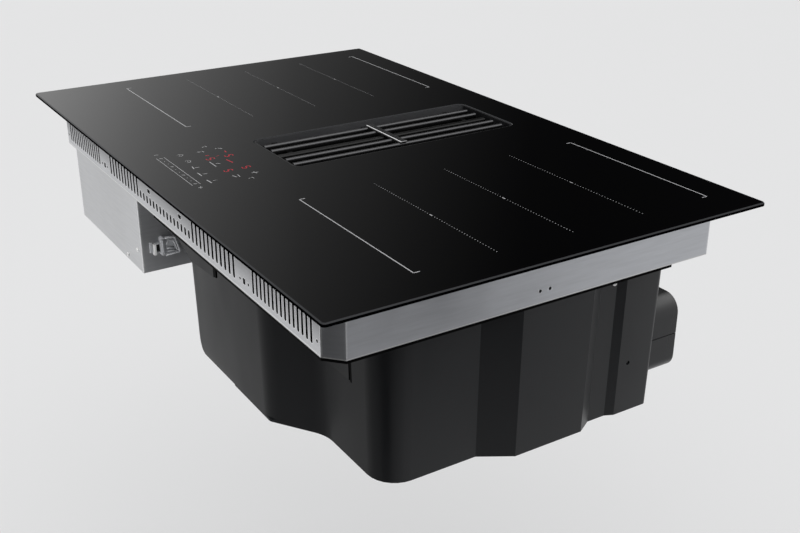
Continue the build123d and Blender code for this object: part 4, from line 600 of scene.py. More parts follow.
def bar(bm, x0, y0, x1, y1, width):
    """A straight printed line of that width."""
    length = sqrt((x1 - x0) ** 2 + (y1 - y0) ** 2)
    nx, ny = -(y1 - y0) / length * width / 2, (x1 - x0) / length * width / 2
    flat_shape(bm, [(x0 - nx, y0 - ny), (x1 - nx, y1 - ny), (x1 + nx, y1 + ny), (x0 + nx, y0 + ny)])


def dot(bm, x, y, r, sides=10):
    flat_shape(bm, circle(r, sides, x, y))


def ring(bm, x, y, r, width, start, end, sides=20):
    """An arc of a printed ring, from start to end degrees."""
    steps = max(3, int(sides * (end - start) / 360))
    for k in range(steps):
        a, b = (radians(start + (end - start) * (k + d) / steps) for d in (0, 1))
        bar(bm, x + r * cos(a), y + r * sin(a), x + r * cos(b), y + r * sin(b), width)


ink = Shader("printed_grey", (0.40, 0.40, 0.41), 0.4)
ink.tint(ink.noise(1500.0, 2.0), 0.15)
ink.bump(ink.noise(2200.0, 1.0), 0.00001)
faint_ink = Shader("printed_dark_grey", (0.30, 0.30, 0.31), 0.4)
faint_ink.tint(faint_ink.noise(1500.0, 2.0), 0.15)
faint_ink.bump(faint_ink.noise(2200.0, 1.0), 0.00001)

BRACKET_X = (152.6, 370.2)
BRACKET_YS = ((-144.4, 1), (220.5, -1))
TICK, LINE_W, DASH_W = 6.5, 1.2, 1.3
DOT_YS = (-53.4, 37.6, 128.7)
DOT_X = (153.0, 371.0)
DOT_COUNT, DOT_R = 52, 0.62
DASH_X = 261.7

for side_name, side in (("left", -1), ("right", 1)):
    marks = bmesh.new()
    for y, inward in BRACKET_YS:
        bar(marks, side * BRACKET_X[0], y, side * BRACKET_X[1], y, LINE_W)
        for x in BRACKET_X:
            bar(marks, side * x, y, side * x, y + inward * TICK, LINE_W)
    for y in DOT_YS:
        bar(marks, side * (DASH_X - 2.5), y, side * (DASH_X + 2.5), y, DASH_W)
    new_piece(f"zone_marks_{side_name}", marks, ink)
    dots = bmesh.new()
    for y in DOT_YS:
        for k in range(DOT_COUNT):
            x = DOT_X[0] + (DOT_X[1] - DOT_X[0]) * k / (DOT_COUNT - 1)
            if abs(x - DASH_X) > 4:
                dot(dots, side * x, y, DOT_R, 8)
    new_piece(f"zone_dots_{side_name}", dots, faint_ink)

SLIDER_X = (-53.0, 54.0)
SLIDER_Y = (-221.5, -212.4)
LEVEL_X, LEVEL_STEP, LEVEL_COUNT, LEVEL_Y = -50.0, 11.15, 10, -217.0
controls = bmesh.new()
for y in SLIDER_Y:
    bar(controls, SLIDER_X[0], y, SLIDER_X[1], y, 0.58)
for k in range(LEVEL_COUNT):
    x = LEVEL_X + LEVEL_STEP * k
    if k % 3 == 0:
        bar(controls, x - 1.0, LEVEL_Y - 1.6, x + 1.0, LEVEL_Y + 1.8, 1.1)
    else:
        dot(controls, x, LEVEL_Y, 0.55)
for x, y in ((-49.8, -194.4), (-24.2, -195.0)):
    ring(controls, x, y, 3.6, 0.65, -35, 215)
    bar(controls, x - 1.2, y, x + 1.2, y, 0.6)
STROKES = [
    (-65.4, -219.2, -64.8, -214.8, 1.1),
    (63.4, -218.9, 64.4, -214.3, 1.0),
    (61.4, -215.5, 66.9, -217.6, 0.9),
    (-4.9, -197.7, 3.8, -198.9, 1.1),
    (0.0, -196.3, 1.4, -191.9, 1.0),
    (18.2, -200.9, 29.7, -200.8, 1.2),
    (24.8, -197.3, 25.9, -192.3, 0.9),
    (45.3, -201.6, 56.9, -200.8, 1.3),
    (50.9, -196.7, 51.1, -192.4, 0.7),
    (-64.2, -160.7, -65.3, -157.7, 0.9),
    (-67.6, -156.1, -63.7, -154.9, 0.9),
    (-50.2, -172.8, -49.6, -168.9, 1.2),
    (-51.1, -166.7, -46.7, -165.4, 0.9),
    (-50.7, -150.0, -52.3, -147.7, 0.8),
    (-52.0, -146.1, -47.5, -142.4, 1.1),
    (-9.5, -174.6, 9.5, -174.7, 1.0),
    (-1.6, -170.4, 2.5, -166.6, 1.0),
    (47.2, -172.0, 53.9, -170.0, 1.1),
    (46.8, -165.8, 54.6, -166.4, 0.9),
    (50.0, -150.2, 50.6, -142.4, 1.0),
    (47.1, -146.8, 53.9, -145.5, 0.9),
    (65.1, -160.8, 64.2, -158.7, 0.9),
    (62.8, -156.2, 67.6, -155.6, 0.9),
]
for stroke in STROKES:
    bar(controls, *stroke)
new_piece("control_marks", controls, ink)

glow = Shader("lit_digits", (0.26, 0.004, 0.012), 0.5, Emission_Color=(1.0, 0.02, 0.06, 1.0), Emission_Strength=0.30)
glow.tint(glow.noise(900.0, 1.0), 0.1)
SEGMENTS = {
    "a": (0, 1, 1, 1),
    "b": (1, 0.5, 1, 1),
    "c": (1, 0, 1, 0.5),
    "d": (0, 0, 1, 0),
    "f": (0, 0.5, 0, 1),
    "g": (0, 0.5, 1, 0.5),
}


def numeral(bm, keys, x, y, w=5.6, h=9.4, width=0.9):
    """A seven-segment numeral centred on x, y."""
    for key in keys:
        x0, y0, x1, y1 = SEGMENTS[key]
        p = [x + (u - 0.5) * w for u in (x0, x1)]
        q = [y + (v - 0.5) * h for v in (y0, y1)]
        du, dv = (p[1] - p[0]) * 0.12, (q[1] - q[0]) * 0.12
        bar(bm, p[0] + du, q[0] + dv, p[1] - du, q[1] - dv, width)


DIGIT_SPOTS = ((-19.6, -169.3), (-19.6, -146.3), (28.6, -168.6), (28.6, -146.8))
LIT_STROKES = (
    (-38.0, -143.4, -32.6, -143.9, 1.1),
    (-7.6, -154.9, 6.0, -152.8, 1.0),
    (-24.3, -160.5, -26.4, -155.6, 0.4),
)
digits = bmesh.new()
for x, y in DIGIT_SPOTS:
    numeral(digits, "afgcd", x, y)
numeral(digits, "bc", -34.3, -167.5, 3.2, 5.6)
for stroke in LIT_STROKES:
    bar(digits, *stroke)
new_piece("lit_digits", digits, glow)

# ---------------------------------------------------------------- cord clamp on the side of the box
CLAMP_X = box_mm("cable_clamp")[0].x
GREY, WHITE, BLACK = 0, 1, 2


def plate(bm, points, reach, edge, finish=GREY):
    """A flat plate of (y, z) points that stands out from the box's side by reach, its outer edge softened."""
    cy = sum(p[0] for p in points) / len(points)
    cz = sum(p[1] for p in points) / len(points)
    half = max(abs(p[0] - cy) for p in points), max(abs(p[1] - cz) for p in points)
    inner = [(cy + (y - cy) * (1 - edge / half[0]), cz + (z - cz) * (1 - edge / half[1])) for y, z in points]
    levels = ((0.0, points), (reach - edge, points), (reach, inner))
    loft(bm, [[(CLAMP_X + x, y, z) for y, z in row] for x, row in levels], finish)


CLAMP_PLATES = (
    ((-223.0, -129.6, -219.6, -116.2, 0.6), 2.0, 0.5, GREY),
    ((-219.0, -132.8, -215.6, -118.6, 0.8), 5.0, 0.5, WHITE),
    ((-215.8, -129.2, -209.4, -119.4, 0.6), 0.6, 0.2, BLACK),
    ((-216.2, -119.6, -208.6, -117.8, 0.5), 4.0, 0.5, GREY),
    ((-216.2, -131.2, -208.6, -129.4, 0.5), 4.0, 0.5, GREY),
    ((-210.2, -135.6, -203.8, -110.4, 3.0), 4.5, 1.2, GREY),
)
RIB_REACH, RIB = 5.0, [(-207.6, -131.5), (-207.2, -114.5)]
CAGE_FOOT, CAGE_RIDGE = [(-204.2, -135.0), (-188.4, -135.0)], [(-186.4, -132.0), (-190.4, -115.4)]
CAGE_BACK = [*CAGE_FOOT, *CAGE_RIDGE, (-192.4, -113.6), (-204.2, -112.6)]
CAGE_REACH, CAGE_CORNER_R = 4.0, 2.4
CAGE_WIRES = (
    ([(-204.0, -112.4), (-191.4, -113.4), (-185.6, -134.4), (-204.0, -135.6)], 1.3, 0.0),
    ([(-202.6, -121.0), (-200.2, -116.6), (-193.2, -117.6), (-189.4, -130.6)], 1.0, 0.6),
    ([(-202.6, -126.4), (-193.4, -127.0)], 0.9, 0.4),
    ([(-202.6, -130.6), (-190.6, -130.8)], 0.9, 0.4),
)
body = bmesh.new()
for corners, reach, edge, finish in CLAMP_PLATES:
    plate(body, outline(box_corners(*corners), 5), reach, edge, finish)
rod(body, [(CLAMP_X + RIB_REACH, y, z) for y, z in RIB], 1.0)
plate(body, CAGE_BACK, 2.2, 0.6)
for route, r, lift in CAGE_WIRES:
    rod(body, bend([(CLAMP_X + CAGE_REACH + lift, y, z) for y, z in route], CAGE_CORNER_R), r)
cord_clamp = new_piece("cord_clamp", body, clamp, clamp_white, grommet, slot="clamp_plastic")
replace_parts(cord_clamp, "cable_clamp")

# ---------------------------------------------------------------- fan housing with its rounded foot
HOUSING_TOP, HOUSING_FOOT, HOUSING_STEP = -59.0, -224.5, 1.5
WALL, FLOOR_T = 2.5, 3.0
GROWTH = tan(radians(1.2))
FOOT_R, FOOT_SPAN = 18.0, 46.0
PLAN = [
    (-22.0, -205.0, 22.0),
    (183.0, -205.0, 45.0),
    (240.0, -167.0, 45.0),
    (355.0, -167.0, 32.0),
    (355.0, -58.0, 0.0),
    (376.0, -23.0, 0.0),
    (376.0, 64.0, 0.0),
    (365.0, 83.0, 0.0),
    (365.0, 106.0, 0.0),
    (369.5, 116.0, 0.0),
    (369.5, 164.0, 5.5),
    (-22.0, 164.0, 22.0),
]
LEFT_X, FRONT_Y, RECESS_Y, REAR_Y = PLAN[0][0], PLAN[0][1], PLAN[2][1], PLAN[-1][1]
STEP_X, STEP_CORNER_R = 93.0, 8.0
FUNNEL, FUNNEL_FOOT = (-65.0, -106.0, 65.0, 216.0, 11.0), -127.0
BOSSES = ((22.0, -200.98), (159.0, -200.98), (350.98, -82.0), (365.48, 146.0), (215.0, 159.98))
BOSS_R, BOSS_L, SCREW_HOLE_R = 6.0, 25.0, 2.05
SIDE_SCREW = (366.0, 101.0, -65.4)
SIDE_PORT, SIDE_PORT_R = (370.0, 129.0, -165.0), 2.5
OUTLET_X, OUTLET_Z, OUTLET_L, OUTLET_H = 239.0, -164.0, 222.6, 90.6


def tub_rows(inset, foot, top, foot_r, steps=7):
    """Rows of the drafted tub from its foot to its top, its left foot rounded by foot_r."""
    base = grown(outline(PLAN), -inset)
    left = LEFT_X + inset
    turns = [pi / 2 * k / steps for k in range(steps + 1)]
    rows = []
    for rise, pull in [(foot_r * (1 - cos(a)), foot_r * (1 - sin(a))) for a in turns] + [(top - foot, 0.0)]:
        drafted = grown(base, rise * GROWTH)
        rows.append([(x + pull * max(0.0, 1 - (x - left) / FOOT_SPAN), y, foot + rise) for x, y in drafted])
    return rows


step_plan = outline([PLAN[0], (*PLAN[1][:2], STEP_CORNER_R), *PLAN[2:]])
step_plan = [Vector((STEP_X, FRONT_Y)), *(p for p in step_plan if p.x > STEP_X), Vector((STEP_X, REAR_Y))]
funnel = outline(box_corners(*FUNNEL))
port = outline(box_corners(OUTLET_X - OUTLET_L / 2, REAR_Y - 6.0, OUTLET_X + OUTLET_L / 2, REAR_Y + 8.0, 0.0))
boss_spots = [(x, y, HOUSING_TOP - BOSS_L / 2) for x, y in BOSSES]
tools = [
    ("UNION", prism(funnel, FUNNEL_FOOT, HOUSING_TOP)),
    ("UNION", prism(step_plan, HOUSING_FOOT - HOUSING_STEP, HOUSING_FOOT + 1.0)),
    ("DIFFERENCE", solid(tub_rows(WALL, HOUSING_FOOT + FLOOR_T, HOUSING_TOP + 5.0, FOOT_R - WALL))),
    ("DIFFERENCE", prism(grown(funnel, -WALL), FUNNEL_FOOT + WALL, HOUSING_TOP + 4.0)),
    *(("UNION", round_bar(spot, BOSS_R, BOSS_L, "Z")) for spot in boss_spots),
    *(("DIFFERENCE", round_bar(spot, SCREW_HOLE_R, BOSS_L + 5.0, "Z", 16)) for spot in boss_spots),
    ("DIFFERENCE", prism(port, OUTLET_Z - OUTLET_H / 2, OUTLET_Z + OUTLET_H / 2)),
    ("DIFFERENCE", round_bar(SIDE_PORT, SIDE_PORT_R, 16.0, "X", 20)),
    ("DIFFERENCE", round_bar(SIDE_SCREW, SCREW_HOLE_R, 20.0, "X", 16)),
]
shell = carved(solid(tub_rows(0.0, HOUSING_FOOT, HOUSING_TOP, FOOT_R)), tools)
soften(shell)
housing_shell = new_piece("housing_shell", shell, housing, slot="housing_plastic")
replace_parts(housing_shell, "housing_tub")

# Painted shade, as thin dark pieces: a plate in the darker lid plastic on the recessed wall stands for the shadow of
# the casing's corner there, beside a black strip for a dark slot line.
# A black strip closes the notch of the lid's lip for the shade in it, and a black band under the casing's edge
# stands for the shadow line there.
PATCH = ((228.0, 295.0), -131.5, 1.0)
SLOT = ((296.0, 298.8), -133.0, 0.25)
NOTCH_LOW, NOTCH_HIGH = (117.6, -231.1, -73.5), (124.5, -229.2, HOUSING_TOP - 0.2)
LINE_OUTER = [(-40.0, -235.45), (362.55, -235.45), (379.95, -219.45), (379.95, 169.0)]
LINE_INNER = [(379.5, 169.0), (379.5, -219.25), (362.35, -235.0), (-40.0, -235.0)]
LINE_LEVELS = (HOUSING_TOP, -56.05)


def wall_plate(x_range, foot, rise):
    """A plate on the recessed front wall, following its draft, raised by rise."""
    at = [RECESS_Y - (z - HOUSING_FOOT) * GROWTH for z in (foot, HOUSING_TOP)]
    side = [(at[0] + 1.0, foot), (at[1] + 1.0, HOUSING_TOP), (at[1] - rise, HOUSING_TOP), (at[0] - rise, foot)]
    return [[(x, y, z) for y, z in side] for x in x_range]


strip = bmesh.new()
loft(strip, wall_plate(*PATCH), finish=1)
loft(strip, wall_plate(*SLOT))
slab(strip, NOTCH_LOW, NOTCH_HIGH, 0.2)
loft(strip, [[(x, y, z) for x, y in LINE_OUTER + LINE_INNER] for z in LINE_LEVELS])
new_piece("housing_shade_plates", strip, shadow_black, lid_plastic, slot="housing_plastic")

# ---------------------------------------------------------------- front panel with its vent slots and small holes
PANEL_X, PANEL_Y, PANEL_T, PANEL_FOOT, PANEL_TOP = 362.6, -235.5, 1.2, -54.8, 2.0
FLANGE_X, FLANGE_TOP, FLANGE_BACK = 350.6, -53.6, -222.3
SLOT_LEVEL, SLOT_HEIGHT = -48.7, 40.0
LOW_LEVEL, LOW_HEIGHT, LOW_ONES = -47.5, 10.0, range(10, 25)
END_MIDDLE, END_PITCH, END_COUNT, END_WIDTH = 287.3, 8.45, 15, 4.1
MID_PITCH, MID_COUNT, MID_WIDTH = 10.49, 36, 5.0
LATCH_XS, LATCH_Z, LATCH_W, LATCH_H = (-50.0, 44.0), -30.2, 8.0, 4.5
CLIP_X, CLIP_Z, CLIP_W, CLIP_H, CLIP_SPREAD = 207.5, -43.5, 5.4, 6.4, 9.5
RIM_HOLE_X, RIM_HOLE_Z, PIN_R = 357.0, -42.2, 1.7
PANEL_SCREW_XS, PANEL_SCREW_Y = (-300.0, -70.0, 215.0, 340.0), 228.3
cutter = bmesh.new()


def upright(points, y0, y1):
    """Rows for a body between y0 and y1, its outline given as (x, z) points."""
    return [[(x, y, z) for x, z in points] for y in (y0, y1)]


def cut(points):
    loft(cutter, upright(points, PANEL_Y - 5.0, PANEL_Y + 6.0))


def cut_slot(x, foot, width, height, steps=6):
    r = width / 2
    points = []
    for z, start in ((foot + height - r, 0), (foot + r, 180)):
        for k in range(steps + 1):
            angle = radians(start + 180 * k / steps)
            points.append((x + r * cos(angle), z + r * sin(angle)))
    cut(points)


def cut_window(x, z, w, h):
    cut([(x + w / 2, z + h / 2), (x - w / 2, z + h / 2), (x - w / 2, z - h / 2), (x + w / 2, z - h / 2)])


for side in (-1, 1):
    for k in range(END_COUNT):
        cut_slot(side * END_MIDDLE + (k - (END_COUNT - 1) / 2) * END_PITCH, SLOT_LEVEL, END_WIDTH, SLOT_HEIGHT)
for k in range(MID_COUNT):
    level, tall = (LOW_LEVEL, LOW_HEIGHT) if k in LOW_ONES else (SLOT_LEVEL, SLOT_HEIGHT)
    cut_slot((k - (MID_COUNT - 1) / 2) * MID_PITCH, level, MID_WIDTH, tall)
for x in LATCH_XS:
    cut_window(x, LATCH_Z, LATCH_W, LATCH_H)
for side in (-1, 1):
    cut_window(side * CLIP_X, CLIP_Z, CLIP_W, CLIP_H)
    for spread in (-CLIP_SPREAD, CLIP_SPREAD):
        cut(circle(PIN_R, 16, side * CLIP_X + spread, CLIP_Z))
    cut(circle(PIN_R, 16, side * RIM_HOLE_X, RIM_HOLE_Z))
sheet_y = PANEL_Y + PANEL_T
sheet = [(PANEL_X, PANEL_FOOT), (PANEL_X, PANEL_TOP), (-PANEL_X, PANEL_TOP), (-PANEL_X, PANEL_FOOT)]
flange = [(FLANGE_X, PANEL_FOOT), (FLANGE_X, FLANGE_TOP), (-FLANGE_X, FLANGE_TOP), (-FLANGE_X, PANEL_FOOT)]
flange_z = (PANEL_FOOT + FLANGE_TOP) / 2
panel = carved(solid(upright(sheet, PANEL_Y, sheet_y)), [
    ("UNION", solid(upright(flange, sheet_y - PANEL_T / 2, FLANGE_BACK))),
    *(("DIFFERENCE", round_bar((x, -PANEL_SCREW_Y, flange_z), SCREW_HOLE_R, 6.0, "Z", 16)) for x in PANEL_SCREW_XS),
    ("DIFFERENCE", as_tool(cutter)),
])
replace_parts(new_piece("front_panel", panel, vented, slot="casing_steel"), "casing_front")

# ---------------------------------------------------------------- duct outlet, two halves with a seam between them
DUCT_L, DUCT_H, DUCT_WALL, DUCT_Y = 222.0, 90.0, 2.5, (156.0, 220.0)
DUCT_TOP_R, DUCT_FOOT_R, SEAM_Z, SEAM = 20.0, 18.0, -163.0, 0.5
FLANGE_Y, FLANGE_W = (167.1, 170.0), 9.0


def duct_half(above):
    """The upper or lower half of the duct, with its half of the flange."""
    x0, x1 = OUTLET_X - DUCT_L / 2, OUTLET_X + DUCT_L / 2
    z0, z1 = OUTLET_Z - DUCT_H / 2, OUTLET_Z + DUCT_H / 2
    seam = SEAM_Z + (SEAM if above else -SEAM)
    section = outline([(x0, z0, DUCT_FOOT_R), (x1, z0, DUCT_FOOT_R), (x1, z1, DUCT_TOP_R), (x0, z1, DUCT_TOP_R)], 9)
    half = len(section) // 2
    share = slice(half, None) if above else slice(half)
    first, last, out = (x1, x0, 1) if above else (x0, x1, -1)

    def closed(middle, reach):
        """The points of middle between two points on the seam, which stand out from the duct by reach."""
        return [Vector((first + out * reach, seam)), *middle, Vector((last - out * reach, seam))]

    skin = closed(section[share], 0.0)
    lining = closed(grown(section, -DUCT_WALL)[share], -DUCT_WALL)
    level = z1 + FLANGE_W if above else z0 - FLANGE_W
    rim = closed([Vector((first + out * FLANGE_W, level)), Vector((last - out * FLANGE_W, level))], FLANGE_W)
    made = bmesh.new()
    for outer, inner, stations in ((skin, lining, DUCT_Y), (rim, skin, FLANGE_Y)):
        loft(made, upright(outer + inner[::-1], *stations))
    soften(made)
    return made


for half_name, above in (("upper", True), ("lower", False)):
    duct = new_piece(f"duct_{half_name}", duct_half(above), outlet_plastic, slot="housing_plastic")
    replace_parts(duct, f"outlet_{half_name}")

# ---------------------------------------------------------------- painted highlight: a bright strip along the box's front right fold
FOLD_W, FOLD_PROUD, FOLD_EDGE = 0.9, 0.12, 0.1
low, high = box_mm("box_side_cover")
fold = bmesh.new()
slab(fold, (high.x - FOLD_W, low.y - FOLD_PROUD, low.z), (high.x + FOLD_PROUD, low.y + FOLD_W, high.z), FOLD_EDGE)
new_piece("box_fold_highlight", fold, fold_highlight_steel, slot="box_steel")

# ---------------------------------------------------------------- coil windings, each one wound spiral
TURNS, PITCH, WIRE_R, COIL_CORNER_R = 12, 2.6, 1.15, 38.0
for side in ("left", "right"):
    for row in (1, 2, 3, 4):
        node = f"coil_winding_{side}_{row}"
        low, high = box_mm(node)
        corners = box_corners(low.x + WIRE_R, low.y + WIRE_R, high.x - WIRE_R, high.y - WIRE_R, COIL_CORNER_R)
        loops = outline(corners, 6)
        path = []
        for turn in range(TURNS):
            for k in range(len(loops)):
                here = grown(loops, -PITCH * (turn + k / len(loops)))[k]
                path.append((here.x, here.y, (low.z + high.z) / 2))
        winding = bmesh.new()
        rod(winding, path, WIRE_R, across=(0, 0, 1))
        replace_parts(new_piece(f"coil_wire_{side}_{row}", winding, copper, slot="coil_copper"), node)

# ---------------------------------------------------------------- crossbar of the grille
STEEL, RUBBER_SHADOW_PAD, FRONT_HIGHLIGHT = 0, 1, 2
low, high = box_mm("grille_handle")
bar_y, bar_seat = (low.y + high.y) / 2, low.z + 1.0
crossbar = bmesh.new()
# The bar's front face takes the pale steel, a painted highlight. The rubber pad under the bar is dark also as
# painted shade for the shadow gap beneath it.
for inset, front, back, levels, edge, finish in (
    (1.2, 4.4, 4.0, (low.z, bar_seat), 0.2, RUBBER_SHADOW_PAD),
    (1.0, 4.0, 4.6, (bar_seat, high.z + 0.6), 0.6, STEEL),
):
    corners = (low.x + inset, bar_y - front, levels[0]), (high.x - inset, bar_y + back, levels[1])
    for face in slab(crossbar, *corners, edge):
        face.material_index = FRONT_HIGHLIGHT if finish == STEEL and face.normal.y < -0.5 else finish
grip_bar = new_piece("grip_bar", crossbar, brushed, grommet, bar_front_highlight, body="grille_unit", slot="handle_steel")
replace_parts(grip_bar, "grille_handle")

# ---------------------------------------------------------------- cross-recess screws
HEAD_R, HEAD_H, SHANK_R = 3.5, 2.0, 1.85
DOME = [(2.1, HEAD_H - 0.06), (2.8, HEAD_H - 0.35), (3.25, HEAD_H - 0.8), (HEAD_R, 0.5), (HEAD_R, 0.0)]
THREAD_DEPTH, THREAD_PITCH = 0.35, 0.9
CROSS_HALF, CROSS_REACH, CROSS_DEPTH, CROSS_TAPER = 0.42, 1.75, 0.88, 0.55
CROSS_CORNER = atan2(CROSS_HALF, CROSS_REACH)
CROSS_MIDDLE = (CROSS_CORNER + pi / 4) / 2
SCREW_TURNS = [
    pi / 2 * arm + turn
    for arm in range(4)
    for turn in (0, CROSS_CORNER, CROSS_MIDDLE, pi / 4, pi / 2 - CROSS_MIDDLE, pi / 2 - CROSS_CORNER)
]


def cross_reach(angle):
    """How far the cross recess reaches from its middle at that angle."""
    off = abs((angle + pi / 4) % (pi / 2) - pi / 4)
    return min(CROSS_REACH / cos(off), CROSS_HALF / max(sin(off), 0.001))


def screw(bm, seat, out, shank, head=1.0):
    """A domed cross-recess screw: its head, scaled by head, stands on seat towards out; its shank goes back."""
    place = Matrix.Translation(Vector(seat)) @ Vector(out).to_track_quat("Z", "Y").to_matrix().to_4x4()
    profile = [(r * head, z) for r, z in DOME] + [(SHANK_R, 0.0)]
    depth = 0.5
    while depth < shank - 1.4:
        for narrow, drop in ((0, 0), (THREAD_DEPTH, THREAD_DEPTH), (0, 2 * THREAD_DEPTH)):
            profile.append((SHANK_R - narrow, -depth - drop))
        depth += THREAD_PITCH
    profile += [(SHANK_R - 0.5, -shank + 0.4), (0.6, -shank)]
    rings = [([cross_reach(angle) * share * head for angle in SCREW_TURNS], HEAD_H - drop)
             for drop, share in ((CROSS_DEPTH, CROSS_TAPER), (0.0, 1.0))]
    rings += [([r] * len(SCREW_TURNS), z) for r, z in profile]
    rows = [[(r * cos(a), r * sin(a), z) for r, a in zip(reach, SCREW_TURNS)] for reach, z in rings]
    loft(bm, [[place @ Vector(p) for p in row] for row in rows])


CASING_FOOT, LID_TOP, BOX_FRONT, SIDE_SEAT_X = -56.0, -54.8, -233.0, 368.8
PANEL_SEATS = [((x, side * PANEL_SCREW_Y, CASING_FOOT), (0, 0, -1), 4.8) for x in PANEL_SCREW_XS for side in (-1, 1)]
COVER_SEATS = [((x, BOX_FRONT, z), (0, -1, 0), 4.8, 0.8) for x, z in ((-158.0, -149.0), (-118.0, -128.0))]
LID_SEATS = [((x, y, LID_TOP), (0, 0, 1), 16.7) for x, y in BOSSES]
LID_SEATS.append(((SIDE_SEAT_X, *SIDE_SCREW[1:]), (1, 0, 0), 3.0, 0.75))
for name, seats, node in (
    ("panel_screws", PANEL_SEATS, "casing_screws"),
    ("cover_screws", COVER_SEATS, "box_screws"),
    ("lid_screws", LID_SEATS, "housing_screws"),
):
    screws = bmesh.new()
    for seat in seats:
        screw(screws, *seat)
    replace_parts(new_piece(name, screws, screw_steel, slot="screw_steel"), node)

# ---------------------------------------------------------------- floor, light and camera
FLOOR_Z = -0.62
PALE_FLOOR = (0.758, 0.760, 0.764, 1.0)
floor_mat = Shader("floor", (0.745, 0.748, 0.755), 0.9)
floor_mat.tint(floor_mat.noise(1.5, 2.0), 0.004)
even = floor_mat.tree.nodes.new("ShaderNodeEmission")
even.inputs["Color"].default_value = PALE_FLOOR
rays = floor_mat.tree.nodes.new("ShaderNodeLightPath")
seen = rays.outputs["Is Camera Ray"]
for kind in ("Is Glossy Ray", "Is Transmission Ray"):
    seen = floor_mat.math("MAXIMUM", seen, rays.outputs[kind])
blend = floor_mat.tree.nodes.new("ShaderNodeMixShader")
floor_mat.link(floor_mat.math("MULTIPLY", seen, 0.65), blend.inputs["Fac"])
floor_mat.link(floor_mat.bsdf.outputs["BSDF"], blend.inputs[1])
floor_mat.link(even.outputs["Emission"], blend.inputs[2])
floor_mat.link(blend.outputs["Shader"], floor_mat.tree.nodes["Material Output"].inputs["Surface"])
floor_bm = bmesh.new()
bmesh.ops.create_grid(floor_bm, x_segments=1, y_segments=1, size=60.0)
floor = as_object("floor", floor_bm)
floor.location.z = FLOOR_Z
floor.data.materials.append(floor_mat.mat)
floor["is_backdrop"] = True

# A curved dark cloth stands out of view at the front right, for the metal to shade towards its front corner.
FLAG_CENTRE, FLAG_R, FLAG_TOP = (0.40, -0.25), 0.85, -0.10
FLAG_NEAR_R, FLAG_NEAR_FROM, FLAG_NEAR_TO = 0.34, 282, 318
flag_mat = Shader("flag_cloth", (0.020, 0.020, 0.021), 0.95)
flag_mat.tint(flag_mat.noise(300.0, 2.0), 0.2)
flag_mat.paint(flag_mat.along("Object", "Y", -0.20, -0.08), (0.36, 0.36, 0.365))
flag_bm = bmesh.new()
columns = []
for degree in range(262, 413, 5):
    away = Vector((cos(radians(degree)), sin(radians(degree))))
    near = FLAG_NEAR_R if FLAG_NEAR_FROM <= degree <= FLAG_NEAR_TO else FLAG_R
    ends = ((near, FLOOR_Z + 0.002), (FLAG_R, FLAG_TOP))
    columns.append([flag_bm.verts.new((*(Vector(FLAG_CENTRE) + away * r), z)) for r, z in ends])
for left, right in zip(columns, columns[1:]):
    flag_bm.faces.new((left[0], right[0], right[1], left[1]))
flag = as_object("flag", flag_bm)
flag.data.materials.append(flag_mat.mat)
flag.visible_camera = False
flag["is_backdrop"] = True

# The studio: radiance by azimuth (degrees, degree/360 along the ramp), with a soft pale ceiling.
SKY = [
    (0, 0.34),
    (19, 0.34),
    (30, 0.40),
    (50, 0.95),
    (95, 0.60),
    (120, 0.010),
    (137, 0.006),
    (141, 0.009),
    (144, 0.024),
    (147, 0.048),
    (150, 0.085),
    (153, 0.130),
    (157, 0.25),
    (161, 0.42),
    (167, 0.85),
    (200, 0.90),
    (212, 0.82),
    (228, 0.45),
    (245, 0.28),
    (272, 0.40),
    (298, 0.43),
    (325, 0.36),
    (360, 0.34),
]
world = bpy.data.worlds.new("studio")
bpy.context.scene.world = world
world.use_nodes = True
wt = world.node_tree
background = wt.nodes["Background"]
where = wt.nodes.new("ShaderNodeTexCoord")
split = wt.nodes.new("ShaderNodeSeparateXYZ")
wt.links.new(where.outputs["Generated"], split.inputs[0])
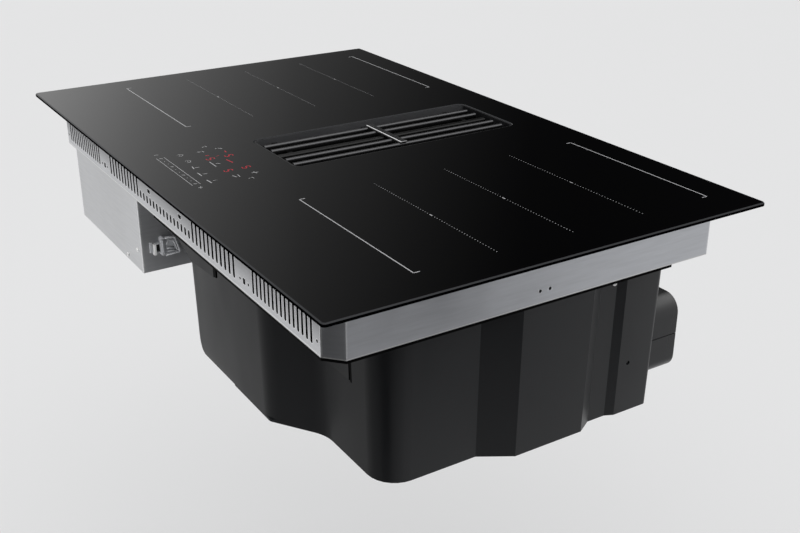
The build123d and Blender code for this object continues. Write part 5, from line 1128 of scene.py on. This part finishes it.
turn = math_node(wt, "ARCTAN2", split.outputs["Y"], split.outputs["X"])
turn = math_node(wt, "FRACT", math_node(wt, "ADD", math_node(wt, "DIVIDE", turn, 2 * pi), 1.0), 0.0)
sky_ring = ramp_node(wt, turn, [(degree / 360, (level, level, level)) for degree, level in SKY])
ceiling = wt.nodes.new("ShaderNodeMapRange")
ceiling.interpolation_type = "SMOOTHSTEP"
ceiling.inputs["From Min"].default_value = 0.5
ceiling.inputs["From Max"].default_value = 0.85
wt.links.new(split.outputs["Z"], ceiling.inputs["Value"])
sky = wt.nodes.new("ShaderNodeMix")
sky.data_type = "RGBA"
wt.links.new(ceiling.outputs["Result"], sky.inputs[0])
wt.links.new(sky_ring, sky.inputs[6])
sky.inputs[7].default_value = (1.6, 1.6, 1.6, 1.0)
wt.links.new(sky.outputs[2], background.inputs["Color"])
background.inputs["Strength"].default_value = 1.0


def light(name, kind, spot, target, **settings):
    """A light at spot that points at target."""
    data = bpy.data.lights.new(name, kind)
    for setting, value in settings.items():
        setattr(data, setting, value)
    lamp = bpy.data.objects.new(name, data)
    lamp.location = spot
    lamp.rotation_euler = (Vector(target) - lamp.location).to_track_quat("-Z", "Y").to_euler()
    bpy.context.scene.collection.objects.link(lamp)


light("soft_box", "AREA", (-1.15, -1.25, 0.12), (-0.30, -0.24, -0.08),
      shape="RECTANGLE", size=0.9, size_y=0.7, energy=1.0)
light("clamp_spot", "SPOT", (0.36, -0.88, -0.26), (-0.095, -0.205, -0.125),
      energy=11.0, spot_size=radians(9.0), spot_blend=1.0, shadow_soft_size=0.06)

camera_data = bpy.data.cameras.new("camera")
camera_data.sensor_width = 36.0
camera_data.lens = 49.466
camera_data.clip_end = 200.0
camera = bpy.data.objects.new("camera", camera_data)
camera.location = (1.111106, -0.627111, 0.406170)
camera.rotation_euler = (radians(65.98416), radians(-0.06817), radians(57.72208))
bpy.context.scene.collection.objects.link(camera)
bpy.context.scene.camera = camera
bpy.context.scene.view_settings.view_transform = "Standard"

low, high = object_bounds()
